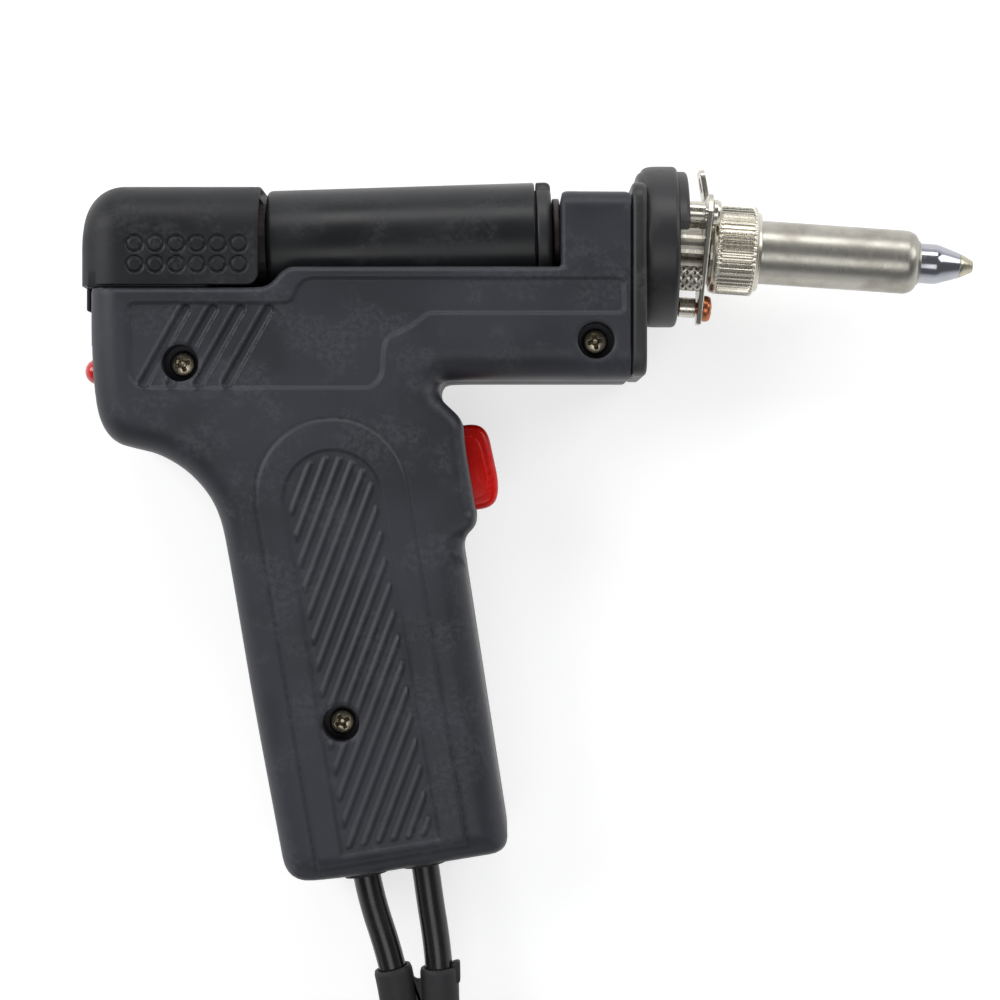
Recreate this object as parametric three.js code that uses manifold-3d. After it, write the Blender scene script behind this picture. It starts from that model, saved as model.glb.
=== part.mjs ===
// A pistol-grip vacuum desoldering gun with its power lead and vacuum hose, modelled in millimetres.
//
// The gun lies on its left side on the plane z = 0: +X points to the nozzle, +Y to the top of the gun,
// +Z away from the table. X and Y are counted from the middle of the gun's box without its leads.

import * as THREE from "three";
import { mergeVertices } from "three/addons/utils/BufferGeometryUtils.js";
import Module from "manifold-3d";

const wasm = await Module();
wasm.setup();

// ---------------------------------------------------------------- driving dimensions, millimetres

const GAP = 0.3; // clearance between pieces that touch
const DEG = Math.PI / 180;

// housing, two halves split on the mid plane
const HOUSING_WIDTH = 34;
const WALL = 2.2;
const EDGE_ROUND = 4;
const REAR_X = -87.4;
const DECK_LENGTH = 33; // flat deck that the rear cover slides on
const DECK_Y = 46.7;
const CRADLE_Y = 51.4; // rim of the canister's trough
const BLOCK_LENGTH = 13.8; // front block that carries the collar
const BLOCK_TOP_Y = 66.5;
const BARREL_UNDER_Y = 29.2;
const HEEL_Y = 15.4;

// grip, in its own frame: u towards the nozzle, v down the grip
const GRIP_X = -36;
const GRIP_TILT = 9.5;
const GRIP_LENGTH = 70;
const GRIP_REAR = 24.4;
const GRIP_FRONT = 22;
const GRIP_TAPER = 1; // how much each edge comes in at the foot
const TRIGGER_SEAT = 25.8; // front of the raised stretch round the trigger

// filter canister
const CANISTER_DIAMETER = 23;
const CANISTER_LENGTH = 53;
const CANISTER_WALL = 1.2;
const CANISTER_AXIS_Y = 56.1;
const CANISTER_TILT = 1.8;
const CANISTER_LIFT = 32;
const FRONT_RING_LENGTH = 2.9;
const SEAL_DIAMETER = 16.4;
const FRONT_SEAL_PROUD = 1.6;

// rear cover and the spring-loaded plunger inside it
const COVER_TOP_Y = 67.6;
const COVER_WIDTH = 31;
const COVER_WALL = 1.8;
const COVER_OVERHANG = 1.3; // how far the cover stands behind the housing
const COVER_TRAVEL = 10;
const PLUNGER_DIAMETER = 18;
const GUIDE_TUBE_DIAMETER = 5;

// trigger, switch and lamp
const TRIGGER_LENGTH = 17.2;
const TRIGGER_WIDTH = 11;
const TRIGGER_PROUD = 5.4;
const TRIGGER_TRAVEL = 2.6;
const TRIGGER_TOP_V = -15.9;
const LAMP_DIAMETER = 5;
const LAMP_Y = 30.7;

// front collar
const COLLAR_BASE = 3.2;
const COLLAR_DISC_DIAMETER = 32;
const COLLAR_DISC_FRONT = 8.8; // front of the disc, counted from the housing
const COLLAR_ARCH_HEIGHT = 2;

// heater, in its own tilted frame: x along the axis, 0 at the front of the collar's arch
const HEATER_TILT = 3.9;
const HEATER_AXIS_Y = 55.6;
const HEATER_PIPE_DIAMETER = 12.6;
const HEATER_PIPE_WALL = 0.8;
const HEATER_PIPE_LENGTH = 32;
const NUT_DIAMETER = 17.7;
const NUT_LENGTH = 9.6;
const NUT_KNURLS = 32;
const FLANGE_THICKNESS = 1;
const FLANGE_AT = 3;
const SPACER_CIRCLE = 12;
const SPACER_DIAMETER = 4;
const SUCTION_TUBE_DIAMETER = 4;
const SUCTION_BORE = 2.4;
const NOZZLE_DIAMETER = 8;
const NOZZLE_TIP_DIAMETER = 2.5;
const NOZZLE_BORE = 1.2;

// housing screws, recessed in the right half
const SCREW_RECESS_DIAMETER = 7.2;
const SCREW_RECESS_DEPTH = 7;
const SCREW_HEAD_DIAMETER = 5;
const SCREW_SHANK_DIAMETER = 2.6;
const SCREW_PLACES = [
  ["rear", -67.6, 31.6],
  ["grip", -36.6, -38.9],
  ["front", 13, 36],
];

// power lead and vacuum hose
const LEAD_DIAMETER = 5.5;
const COIL_TURN_RADIUS = 33;
const COIL_CENTRE_Y = -143.5;
const CLIP_WALL = 0.9;
const CLIP_FROM = 5; // route points that the clip runs between
const CLIP_TO = 7;
const TIE_THICKNESS = 0.7;
const TIE_WIDTH = 8;
const PLUG_DIAMETER = 16;
const PLUG_CONTACTS = 7;
const FITTING_DIAMETER = 9;

// ---------------------------------------------------------------- derived places

const MID_Z = HOUSING_WIDTH / 2;
const DECK_END = REAR_X + DECK_LENGTH;
const COVER_FRONT = DECK_END;
const CANISTER_REAR = DECK_END + 2.9;
const CANISTER_FRONT = CANISTER_REAR + CANISTER_LENGTH;
const BLOCK_X = CANISTER_FRONT + GAP + FRONT_RING_LENGTH + GAP + FRONT_SEAL_PROUD;
const HOUSING_FRONT = BLOCK_X + BLOCK_LENGTH;
const COLLAR_FRONT = HOUSING_FRONT + GAP + COLLAR_DISC_FRONT;
const HEATER_X = COLLAR_FRONT + COLLAR_ARCH_HEIGHT;
const CANISTER_MIDDLE = (CANISTER_REAR + CANISTER_FRONT) / 2;
const TROUGH_RADIUS = CANISTER_DIAMETER / 2 + 0.6;
const LEAD_RADIUS = LEAD_DIAMETER / 2;

// ---------------------------------------------------------------- materials

function finish(color, roughness, metalness = 0) {
  return new THREE.MeshStandardMaterial({ color, roughness, metalness });
}
const CHARCOAL = finish(0x3a3b40, 0.6);
const BLACK = finish(0x1d1d1f, 0.5);
const RED = finish(0xc21a0c, 0.25);
const STEEL = finish(0xa8a49c, 0.35, 1);
const CHROME = finish(0xc8c8c8, 0.15, 1);
const BRASS = finish(0xb8864a, 0.35, 1);
const RUBBER = finish(0x2a2a2a, 0.7);
const SILICONE = finish(0xb5553a, 0.6);
const CERAMIC = finish(0xe6e2d8, 0.7);
const CORD = finish(0x0c0c0d, 0.25);
const BOARD = finish(0x2c6b3a, 0.5);

// ---------------------------------------------------------------- solids

// A closed geometry as a manifold solid, for joining and cutting.
function solid(geometry) {
  const bare = geometry.index ? geometry.toNonIndexed() : geometry.clone();
  bare.deleteAttribute("normal");
  bare.deleteAttribute("uv");
  const merged = mergeVertices(bare, 1e-4);
  return new wasm.Manifold(
    new wasm.Mesh({
      numProp: 3,
      vertProperties: merged.attributes.position.array,
      triVerts: new Uint32Array(merged.index.array),
    }),
  );
}

function geometryOf(made) {
  const mesh = made.getMesh();
  const geometry = new THREE.BufferGeometry();
  geometry.setAttribute("position", new THREE.BufferAttribute(mesh.vertProperties, 3));
  geometry.setIndex(new THREE.BufferAttribute(mesh.triVerts, 1));
  return geometry;
}

function box(x0, x1, y0, y1, z0, z1) {
  const geometry = new THREE.BoxGeometry(x1 - x0, y1 - y0, z1 - z0);
  return geometry.translate((x0 + x1) / 2, (y0 + y1) / 2, (z0 + z1) / 2);
}

// A cylinder along X from x0 to x1, about (y, z).
function rod(radius, x0, x1, y = 0, z = 0, sides = 32) {
  const geometry = new THREE.CylinderGeometry(radius, radius, x1 - x0, sides);
  return geometry.rotateZ(-Math.PI / 2).translate((x0 + x1) / 2, y, z);
}

// A cylinder along Z from z0 to z1, about (x, y).
function post(radius, x, y, z0, z1, sides = 24) {
  const geometry = new THREE.CylinderGeometry(radius, radius, z1 - z0, sides);
  return geometry.rotateX(Math.PI / 2).translate(x, y, (z0 + z1) / 2);
}

// A profile of [x, radius] pairs turned about the X axis. A profile that is off the axis closes on itself.
function turned(profile, sides = 32) {
  const onAxis = profile[0][1] === 0;
  const points = profile.map(([x, r]) => new THREE.Vector2(r, x));
  if (!onAxis) points.push(points[0].clone());
  return new THREE.LatheGeometry(points, sides).rotateZ(-Math.PI / 2);
}

// A tube about X with its outer and inner radius, from x0 to x1.
function sleeve(outer, inner, x0, x1, sides = 32) {
  return turned([[x0, inner], [x0, outer], [x1, outer], [x1, inner]], sides);
}

// An outline in the XY plane, extruded along Z between z0 and z1 with its edges rounded.
function slab(shape, z0, z1, round = 0, steps = 3) {
  const geometry = new THREE.ExtrudeGeometry(shape, {
    depth: z1 - z0 - 2 * round,
    bevelEnabled: round > 0,
    bevelThickness: round,
    bevelSize: round,
    bevelOffset: -round,
    bevelSegments: steps,
    curveSegments: 5,
  });
  return geometry.translate(0, 0, z0 + round);
}

// A round wire or cable of the given radius along a list of points.
function cable(points, radius, sides, steps, inner = 0) {
  const section = new THREE.Shape();
  section.absarc(0, 0, radius, 0, 2 * Math.PI);
  if (inner > 0) section.holes.push(new THREE.Path().absarc(0, 0, inner, 0, 2 * Math.PI, true));
  return new THREE.ExtrudeGeometry(section, {
    extrudePath: points instanceof THREE.Curve ? points : new THREE.CatmullRomCurve3(points),
    steps,
    curveSegments: sides,
  });
}

function coiledWire(radius, wire, x0, x1, turns) {
  class Helix extends THREE.Curve {
    getPoint(t) {
      const angle = t * turns * 2 * Math.PI;
      return new THREE.Vector3(x0 + (x1 - x0) * t, radius * Math.cos(angle), radius * Math.sin(angle));
    }
  }
  return cable(new Helix(), wire / 2, 2, Math.round(turns * 9));
}

const gun = new THREE.Group();

function add(name, shape, material, parent = gun) {
  const geometry = shape.isBufferGeometry ? shape : geometryOf(shape);
  geometry.computeVertexNormals();
  const mesh = new THREE.Mesh(geometry, material);
  mesh.name = name;
  parent.add(mesh);
  return mesh;
}

// ---------------------------------------------------------------- housing

// A point of the grip's frame in the XY plane.
function gripPoint(u, v) {
  const tilt = GRIP_TILT * DEG;
  return [GRIP_X + u * Math.cos(tilt) + v * Math.sin(tilt), u * Math.sin(tilt) - v * Math.cos(tilt)];
}

function gripBox(u0, u1, v0, v1, z0, z1) {
  const geometry = box(u0, u1, -v1, -v0, z0, z1);
  return geometry.rotateZ(GRIP_TILT * DEG).translate(GRIP_X, 0, 0);
}

// A cylinder along the grip, about (u, z).
function gripRod(radius, v0, v1, u, z, sides = 24) {
  const geometry = new THREE.CylinderGeometry(radius, radius, v1 - v0, sides);
  geometry.translate(u, -(v0 + v1) / 2, z);
  return geometry.rotateZ(GRIP_TILT * DEG).translate(GRIP_X, 0, 0);
}

// The side view of the rear body: deck, heel and grip, with a plain front edge down to the foot.
function rearOutline() {
  const foot = GRIP_LENGTH;
  const rear = -GRIP_REAR + GRIP_TAPER;
  const front = GRIP_FRONT - GRIP_TAPER;
  const shape = new THREE.Shape();
  const to = (u, v) => shape.lineTo(...gripPoint(u, v));
  const bend = (cu, cv, u, v) => shape.quadraticCurveTo(...gripPoint(cu, cv), ...gripPoint(u, v));
  shape.moveTo(REAR_X, DECK_Y);
  shape.lineTo(REAR_X + 0.8, HEEL_Y + 8.6);
  shape.quadraticCurveTo(REAR_X + 1.4, HEEL_Y + 0.6, REAR_X + 8.4, HEEL_Y);
  shape.bezierCurveTo(REAR_X + 19.4, HEEL_Y - 0.9, ...gripPoint(-24.8, -9.5), ...gripPoint(-GRIP_REAR, 2));
  to(rear, foot - 7);
  bend(rear + 0.4, foot - 1.2, rear + 6, foot - 1);
  bend(-1, foot + 1.2, front - 7, foot - 0.8);
  bend(front - 0.6, foot - 1.4, front, foot - 7);
  to(GRIP_FRONT, -27);
  shape.lineTo(gripPoint(GRIP_FRONT, -27)[0], CRADLE_Y);
  shape.lineTo(DECK_END + 6.4, CRADLE_Y);
  shape.lineTo(DECK_END + 1, DECK_Y);
  shape.closePath();
  return shape;
}

function polygon(points) {
  const shape = new THREE.Shape();
  points.forEach(([x, y], i) => (i ? shape.lineTo(x, y) : shape.moveTo(x, y)));
  shape.closePath();
  return shape;
}

// The whole outside of the housing: rear body, barrel, front block and the raised seat round the trigger.
function housingOutside() {
  const barrel = [[DECK_END + 8, BARREL_UNDER_Y], [HOUSING_FRONT, BARREL_UNDER_Y], [HOUSING_FRONT, CRADLE_Y]];
  barrel.push([DECK_END + 8, CRADLE_Y]);
  const block = [[BLOCK_X, BARREL_UNDER_Y], [HOUSING_FRONT, BARREL_UNDER_Y], [HOUSING_FRONT, BLOCK_TOP_Y]];
  block.push([BLOCK_X, BLOCK_TOP_Y]);
  const seat = [[8, 5], [GRIP_FRONT + 1.6, 5], [TRIGGER_SEAT, 2.4], [TRIGGER_SEAT, -17.4], [TRIGGER_SEAT - 3, -20]];
  seat.push([8, -20]);
  const slabOf = (points) => solid(slab(polygon(points), 0, HOUSING_WIDTH, EDGE_ROUND));
  return solid(slab(rearOutline(), 0, HOUSING_WIDTH, EDGE_ROUND))
    .add(slabOf(barrel))
    .add(slabOf(block))
    .add(slabOf(seat.map(([u, v]) => gripPoint(u, v))));
}

// A cylinder along the canister's tilted axis, from x0 to x1.
function canisterRod(radius, x0, x1, sides = 40) {
  const geometry = rod(radius, x0 - CANISTER_MIDDLE, x1 - CANISTER_MIDDLE, 0, 0, sides);
  return geometry.rotateZ(CANISTER_TILT * DEG).translate(CANISTER_MIDDLE, CANISTER_AXIS_Y, MID_Z);
}

const PLUNGER_Y = CANISTER_AXIS_Y - Math.sin(CANISTER_TILT * DEG) * (CANISTER_LENGTH / 2);
const LEAD_U = { hose: -7.8, power: 4 };
const GROMMET_RADIUS = LEAD_RADIUS + GAP + 1.3;
const CLAMP_V = GRIP_LENGTH - 12;
const CLAMP_SCREWS_U = [-15, 11.8];
const ELBOW_X = REAR_X + 6;
const HOSE_Z = MID_Z - 8;
const BLOCK_BORE = SUCTION_TUBE_DIAMETER / 2 + 1.4;
const TRIGGER_CENTRE_V = TRIGGER_TOP_V + TRIGGER_LENGTH / 2;
const SWITCH_U = 4;
const TRIGGER_INSIDE = TRIGGER_SEAT - WALL - 0.8;

function housingShell() {
  const outer = housingOutside();
  const low = WALL;
  const high = HOUSING_WIDTH - WALL;
  const inside = (x0, x1, y0, y1) => solid(box(x0, x1, y0, y1, low, high));
  const cavity = inside(REAR_X + WALL + 0.7, GRIP_X + 14, HEEL_Y + 6, DECK_Y - WALL)
    .add(inside(REAR_X + 8.4, GRIP_X + 14, HEEL_Y + 2.4, DECK_Y - WALL))
    .add(inside(GRIP_X, HOUSING_FRONT - WALL, BARREL_UNDER_Y + WALL, CRADLE_Y - WALL))
    .add(inside(BLOCK_X + WALL, HOUSING_FRONT - WALL, BARREL_UNDER_Y + WALL, BLOCK_TOP_Y - WALL))
    .add(solid(gripBox(-GRIP_REAR + WALL + 1.2, GRIP_FRONT - WALL - 1.2, -22, GRIP_LENGTH - WALL - 1.4, low, high)))
    .add(solid(gripBox(12, TRIGGER_INSIDE, TRIGGER_TOP_V - 2.6, TRIGGER_TOP_V + TRIGGER_LENGTH + 2.6, low, high)));
  const channel = solid(rod(PLUNGER_DIAMETER / 2 + 0.6, REAR_X + 4, BLOCK_X - 20, PLUNGER_Y, MID_Z));
  const channelWall = solid(rod(PLUNGER_DIAMETER / 2 + 0.6 + WALL, REAR_X + 4 - WALL, DECK_END, PLUNGER_Y, MID_Z));
  const trough = solid(canisterRod(TROUGH_RADIUS, DECK_END, BLOCK_X + 0.5));
  const troughWall = solid(canisterRod(TROUGH_RADIUS + WALL, DECK_END - WALL, BLOCK_X + 1));
  let shell = outer.subtract(cavity).add(troughWall.add(channelWall).intersect(outer));
  for (const [, x, y] of SCREW_PLACES) shell = shell.add(solid(post(4.4, x, y, 1, HOUSING_WIDTH - 1)).intersect(outer));
  shell = shell.add(solid(gripBox(-10, SWITCH_U - 5, -18, 12, 1, 6)).intersect(outer));
  shell = shell.subtract(trough).subtract(channel.trimByPlane([-1, 0, 0], -DECK_END - 0.5));
  for (const [, x, y] of SCREW_PLACES) {
    shell = shell
      .subtract(solid(post(SCREW_SHANK_DIAMETER / 2 + GAP, x, y, 5, HOUSING_WIDTH)))
      .subtract(solid(post(SCREW_RECESS_DIAMETER / 2, x, y, HOUSING_WIDTH - SCREW_RECESS_DEPTH, HOUSING_WIDTH + 1, 32)));
  }
  const axis = heaterFrame(rod(BLOCK_BORE, -34, 4, 0, 0, 24));
  shell = shell.subtract(solid(axis));
  shell = shell.subtract(solid(canisterRod(SEAL_DIAMETER / 2 + GAP, BLOCK_X - 1, BLOCK_X + 3 + GAP)));
  shell = shell.subtract(solid(heaterFrame(rod(3, -24, 4, -6.6, 5, 20))));
  for (const u of Object.values(LEAD_U)) {
    shell = shell.subtract(solid(gripRod(GROMMET_RADIUS + GAP, GRIP_LENGTH - 8, GRIP_LENGTH + 4, u, MID_Z)));
  }
  const half = TRIGGER_WIDTH / 2 + GAP;
  const opening = gripBox(14, TRIGGER_SEAT + 4, TRIGGER_TOP_V - GAP, TRIGGER_TOP_V + TRIGGER_LENGTH + GAP, MID_Z - half, MID_Z + half);
  shell = shell.subtract(solid(opening));
  shell = shell.subtract(solid(rod(LAMP_DIAMETER / 2 + GAP, REAR_X - 2, REAR_X + 5, LAMP_Y, MID_Z, 24)));
  const nipple = new THREE.CylinderGeometry(2.6, 2.6, 8, 20).translate(ELBOW_X, DECK_Y - 2, HOSE_Z);
  return shell.subtract(solid(nipple));
}

// Moves a shape from the heater's frame into the gun's.
function heaterFrame(geometry) {
  return geometry.rotateZ(-HEATER_TILT * DEG).translate(HEATER_X, HEATER_AXIS_Y, MID_Z);
}

function buildHousing() {
  const shell = housingShell();
  const split = GAP / 2;
  add("housing_right", shell.trimByPlane([0, 0, 1], MID_Z + split), CHARCOAL);
  let left = shell.trimByPlane([0, 0, -1], -(MID_Z - split));
  for (const u of CLAMP_SCREWS_U) {
    const [x, y] = gripPoint(u, CLAMP_V);
    left = left.add(solid(post(2.6, x, y, 1, MID_Z + 2.4, 20)));
    left = left.subtract(solid(post(1 + GAP, x, y, 6, MID_Z + 3, 16)));
  }
  add("housing_left", left, CHARCOAL);
  const seat = HOUSING_WIDTH - SCREW_RECESS_DEPTH + GAP;
  for (const [name, x, y] of SCREW_PLACES) {
    const head = solid(post(SCREW_HEAD_DIAMETER / 2, x, y, seat, seat + 1.9, 28));
    const slot = solid(box(x - 1.6, x + 1.6, y - 0.3, y + 0.3, seat + 0.9, seat + 3));
    const cross = solid(box(x - 0.3, x + 0.3, y - 1.6, y + 1.6, seat + 0.9, seat + 3));
    const shank = solid(post(SCREW_SHANK_DIAMETER / 2, x, y, 6, seat + 0.5, 20));
    add(`housing_screw_${name}`, head.subtract(slot).subtract(cross).add(shank), STEEL);
  }
}

// ---------------------------------------------------------------- rear cover and plunger

const COVER_BOTTOM = DECK_Y + 2;
const COVER_REAR = REAR_X - COVER_OVERHANG;

function buildRearCover() {
  const z0 = MID_Z - COVER_WIDTH / 2;
  const z1 = MID_Z + COVER_WIDTH / 2;
  const front = DECK_END + 1.2;
  const profile = new THREE.Shape();
  profile.moveTo(COVER_REAR, DECK_Y - 12);
  profile.lineTo(front + 12, DECK_Y - 12);
  profile.lineTo(front + 12, COVER_TOP_Y);
  profile.lineTo(COVER_REAR + 5, COVER_TOP_Y);
  profile.quadraticCurveTo(COVER_REAR + 0.6, COVER_TOP_Y - 0.6, COVER_REAR, COVER_TOP_Y - 6);
  profile.closePath();
  const w = COVER_WALL;
  const skirt = solid(box(COVER_REAR + 1.4, front - 1.4, DECK_Y + GAP, COVER_BOTTOM + 1, z0 + 1.4, z1 - 1.4));
  const tab = solid(box(COVER_REAR, REAR_X - GAP, DECK_Y - 4.4, COVER_BOTTOM + 2, MID_Z - 5, MID_Z + 5));
  const cover = solid(slab(profile, z0, z1, 4.6))
    .trimByPlane([0, 1, 0], COVER_BOTTOM)
    .trimByPlane([-1, 0, 0], -front)
    .add(skirt)
    .subtract(solid(box(COVER_REAR + w, front + 1, DECK_Y - 1, COVER_TOP_Y - w, z0 + w + 1.4, z1 - w - 1.4)))
    .add(tab);
  add("rear_slide_cover", cover, BLACK);

  const tilted = (geometry) =>
    geometry.rotateZ(CANISTER_TILT * DEG).translate(CANISTER_MIDDLE, CANISTER_AXIS_Y, MID_Z);
  const at = (x) => x - CANISTER_MIDDLE;
  const bore = GUIDE_TUBE_DIAMETER / 2 + 0.6;
  const sealFace = at(CANISTER_REAR) - GAP;
  add("plunger", tilted(sleeve(PLUNGER_DIAMETER / 2 - 0.8, bore, sealFace - 10, sealFace - 2.2)), BLACK);
  add("rear_seal", tilted(sleeve(PLUNGER_DIAMETER / 2, bore, sealFace - 1.9, sealFace)), SILICONE);

  const post0 = ELBOW_X - 3.4;
  const tubeStart = ELBOW_X + 3.4;
  const elbow = solid(box(post0, tubeStart, DECK_Y + GAP, PLUNGER_Y + 5, HOSE_Z - 3.6, MID_Z + 5))
    .add(solid(new THREE.CylinderGeometry(2.2, 2.2, 10, 20).translate(ELBOW_X, DECK_Y - 2, HOSE_Z)))
    .subtract(solid(rod(GUIDE_TUBE_DIAMETER / 2 + GAP, tubeStart - 2, tubeStart + 1, PLUNGER_Y, MID_Z, 20)))
    .subtract(solid(rod(1.4, ELBOW_X, tubeStart + 1, PLUNGER_Y, MID_Z, 12)))
    .subtract(solid(box(ELBOW_X - 1, ELBOW_X + 1, PLUNGER_Y - 1, PLUNGER_Y + 1, HOSE_Z - 1, MID_Z + 1)))
    .subtract(solid(new THREE.CylinderGeometry(1.2, 1.2, 30, 12).translate(ELBOW_X, PLUNGER_Y - 15, HOSE_Z)));
  add("suction_elbow", elbow, BLACK);
  const tube = sleeve(GUIDE_TUBE_DIAMETER / 2, GUIDE_TUBE_DIAMETER / 2 - 0.8, tubeStart - 1.7, DECK_END - 5, 24);
  add("guide_tube", tube.translate(0, PLUNGER_Y, MID_Z), STEEL);
  const springFrom = tubeStart + 0.8;
  const springTo = CANISTER_REAR - GAP - 10 - 0.9;
  add("plunger_spring", coiledWire(3.9, 0.7, springFrom, springTo, 7).translate(0, PLUNGER_Y, MID_Z), STEEL);

  const hoseRoute = [
    [ELBOW_X, DECK_Y - 8.4, HOSE_Z], [ELBOW_X + 2, DECK_Y - 14, HOSE_Z - 1], [ELBOW_X + 7, DECK_Y - 20.6, HOSE_Z - 1],
    [-67, 23, HOSE_Z], [-59, 19.8, HOSE_Z], [-52.4, 11, HOSE_Z], [-49.2, -2, HOSE_Z], [-47.6, -16, HOSE_Z],
    [-45.4, -36, HOSE_Z], [-39.4, -50, HOSE_Z],
  ].map((p) => new THREE.Vector3(...p));
  add("inner_hose", cable(hoseRoute, 2.3, 4, 22), RUBBER);
}

// ---------------------------------------------------------------- filter canister

function buildCanister() {
  const canister = new THREE.Group();
  canister.position.set(CANISTER_MIDDLE, CANISTER_AXIS_Y, MID_Z);
  canister.rotation.z = CANISTER_TILT * DEG;
  gun.add(canister);
  const half = CANISTER_LENGTH / 2;
  const r = CANISTER_DIAMETER / 2;
  const inner = r - CANISTER_WALL;
  const can = turned([
    [-half, 4], [-half, r - 0.8], [-half + 0.8, r], [half, r], [half, inner], [-half + 1.5, inner], [-half + 1.5, 4],
  ], 32);
  add("filter_canister", can, BLACK, canister);
  const ringStart = half + GAP;
  const ringEnd = ringStart + FRONT_RING_LENGTH;
  const ring = turned([
    [ringStart - 4, inner - GAP], [ringStart, inner - GAP], [ringStart, r], [ringEnd - 0.6, r], [ringEnd, r - 0.6],
    [ringEnd, 4], [ringStart - 4, 4],
  ], 32);
  const notch = box(ringStart + 0.4, ringEnd + 1, r - 1.1, r + 1, 3, 5);
  add("canister_front_ring", solid(ring).subtract(solid(notch)), BLACK, canister);
  add("solder_catch_coil", coiledWire(6.4, 1, -half + 16, half - 5, 6), STEEL, canister);
  add("filter_pad", sleeve(inner - GAP, 1.2, -half + 2, -half + 14, 32), CERAMIC, canister);
  const seal = sleeve(SEAL_DIAMETER / 2, BLOCK_BORE, ringEnd + GAP, ringEnd + GAP + FRONT_SEAL_PROUD + 2.6, 40);
  add("front_seal", seal, SILICONE, canister);
}

// ---------------------------------------------------------------- trigger, switch and lamp

function buildTrigger() {
  const z0 = MID_Z - TRIGGER_WIDTH / 2;
  const z1 = MID_Z + TRIGGER_WIDTH / 2;
  const top = TRIGGER_TOP_V;
  const end = top + TRIGGER_LENGTH;
  const tip = TRIGGER_SEAT + TRIGGER_PROUD;
  const rear = SWITCH_U + 12;
  const profile = new THREE.Shape();
  const points = [
    [rear, top], [tip - 1.8, top], [tip - 0.4, top + 2.4], [tip, end - 3.4], [tip - 1.8, end], [rear, end],
  ];
  points.forEach(([u, v], i) => (i ? profile.lineTo(u, -v) : profile.moveTo(u, -v)));
  profile.closePath();
  const button = solid(slab(profile, z0, z1, 1.2, 2)).trimByPlane([1, 0, 0], rear + 1.2);
  const stops = solid(box(TRIGGER_INSIDE - GAP - 1.6, TRIGGER_INSIDE - GAP, -end - 1.6, -top + 1.6, z0 - 1.6, z1 + 1.6));
  const pocket = solid(box(rear, rear + 4, -TRIGGER_CENTRE_V - 2.6, -TRIGGER_CENTRE_V + 2.6, MID_Z - 2.6, MID_Z + 2.6));
  const place = (geometry) => geometry.rotateZ(GRIP_TILT * DEG).translate(GRIP_X, 0, 0);
  add("trigger_button", place(geometryOf(button.add(stops).subtract(pocket))), RED);

  const pinV = TRIGGER_CENTRE_V + 5.4;
  const well = TRIGGER_TRAVEL + 2 * GAP;
  const body = solid(gripBox(SWITCH_U - 6, SWITCH_U, TRIGGER_CENTRE_V - 9, TRIGGER_CENTRE_V + 8, MID_Z - 4, MID_Z + 2.4))
    .subtract(solid(gripBox(SWITCH_U - 1 - well, SWITCH_U + 1, pinV - 1.2 - GAP, pinV + 1.2 + GAP, MID_Z - 2 - GAP, MID_Z + 1 + GAP)));
  add("switch_body", body, BLACK);
  const reach = rear + 1.2 - GAP;
  const pin = box(SWITCH_U - 1, reach, -pinV - 1.2, -pinV + 1.2, MID_Z - 2, MID_Z + 1);
  add("switch_plunger", place(pin), RED);
  const spring = coiledWire(1.8, 0.5, SWITCH_U + 0.7, rear + 4 - 0.7, 7).translate(0, -TRIGGER_CENTRE_V, MID_Z);
  add("trigger_spring", place(spring), STEEL);

  const dome = [];
  for (let i = 0; i <= 6; i += 1) {
    const angle = (i / 6) * 90 * DEG;
    dome.push([REAR_X + 1.3 - 2.4 * Math.cos(angle), (LAMP_DIAMETER / 2) * Math.sin(angle)]);
  }
  const back = REAR_X + WALL + 0.8 + GAP;
  const lens = [...dome, [back, LAMP_DIAMETER / 2], [back, LAMP_DIAMETER / 2 + 0.4], [back + 1, LAMP_DIAMETER / 2 + 0.4], [back + 1, 0]];
  add("lamp_lens", turned(lens, 28).translate(0, LAMP_Y, MID_Z), RED);
  add("lamp_board", box(back + 1 + GAP, back + 2.6 + GAP, LAMP_Y - 5, LAMP_Y + 5, MID_Z - 6, MID_Z + 6), BOARD);
}

// ---------------------------------------------------------------- front collar

// A plate in the YZ plane between x0 and x1, from an outline whose x is the distance across from mid plane.
function plateX(shape, x0, x1, round = 0) {
  const geometry = slab(shape, 0, x1 - x0, round, 2);
  return geometry.rotateY(Math.PI / 2).translate(x0, 0, MID_Z);
}

function roundedRect(x0, x1, y0, y1, r) {
  const shape = new THREE.Shape();
  shape.moveTo(x0 + r, y0).lineTo(x1 - r, y0).quadraticCurveTo(x1, y0, x1, y0 + r);
  shape.lineTo(x1, y1 - r).quadraticCurveTo(x1, y1, x1 - r, y1);
  shape.lineTo(x0 + r, y1).quadraticCurveTo(x0, y1, x0, y1 - r);
  shape.lineTo(x0, y0 + r).quadraticCurveTo(x0, y0, x0 + r, y0);
  return shape;
}

const SPACER_ANGLES = [-90, 30, 150];
const SLEEVE_PLACE = [-6.6, 5];

function spacerPlace(angle) {
  return [SPACER_CIRCLE * Math.sin(angle * DEG), SPACER_CIRCLE * Math.cos(angle * DEG)];
}

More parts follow.
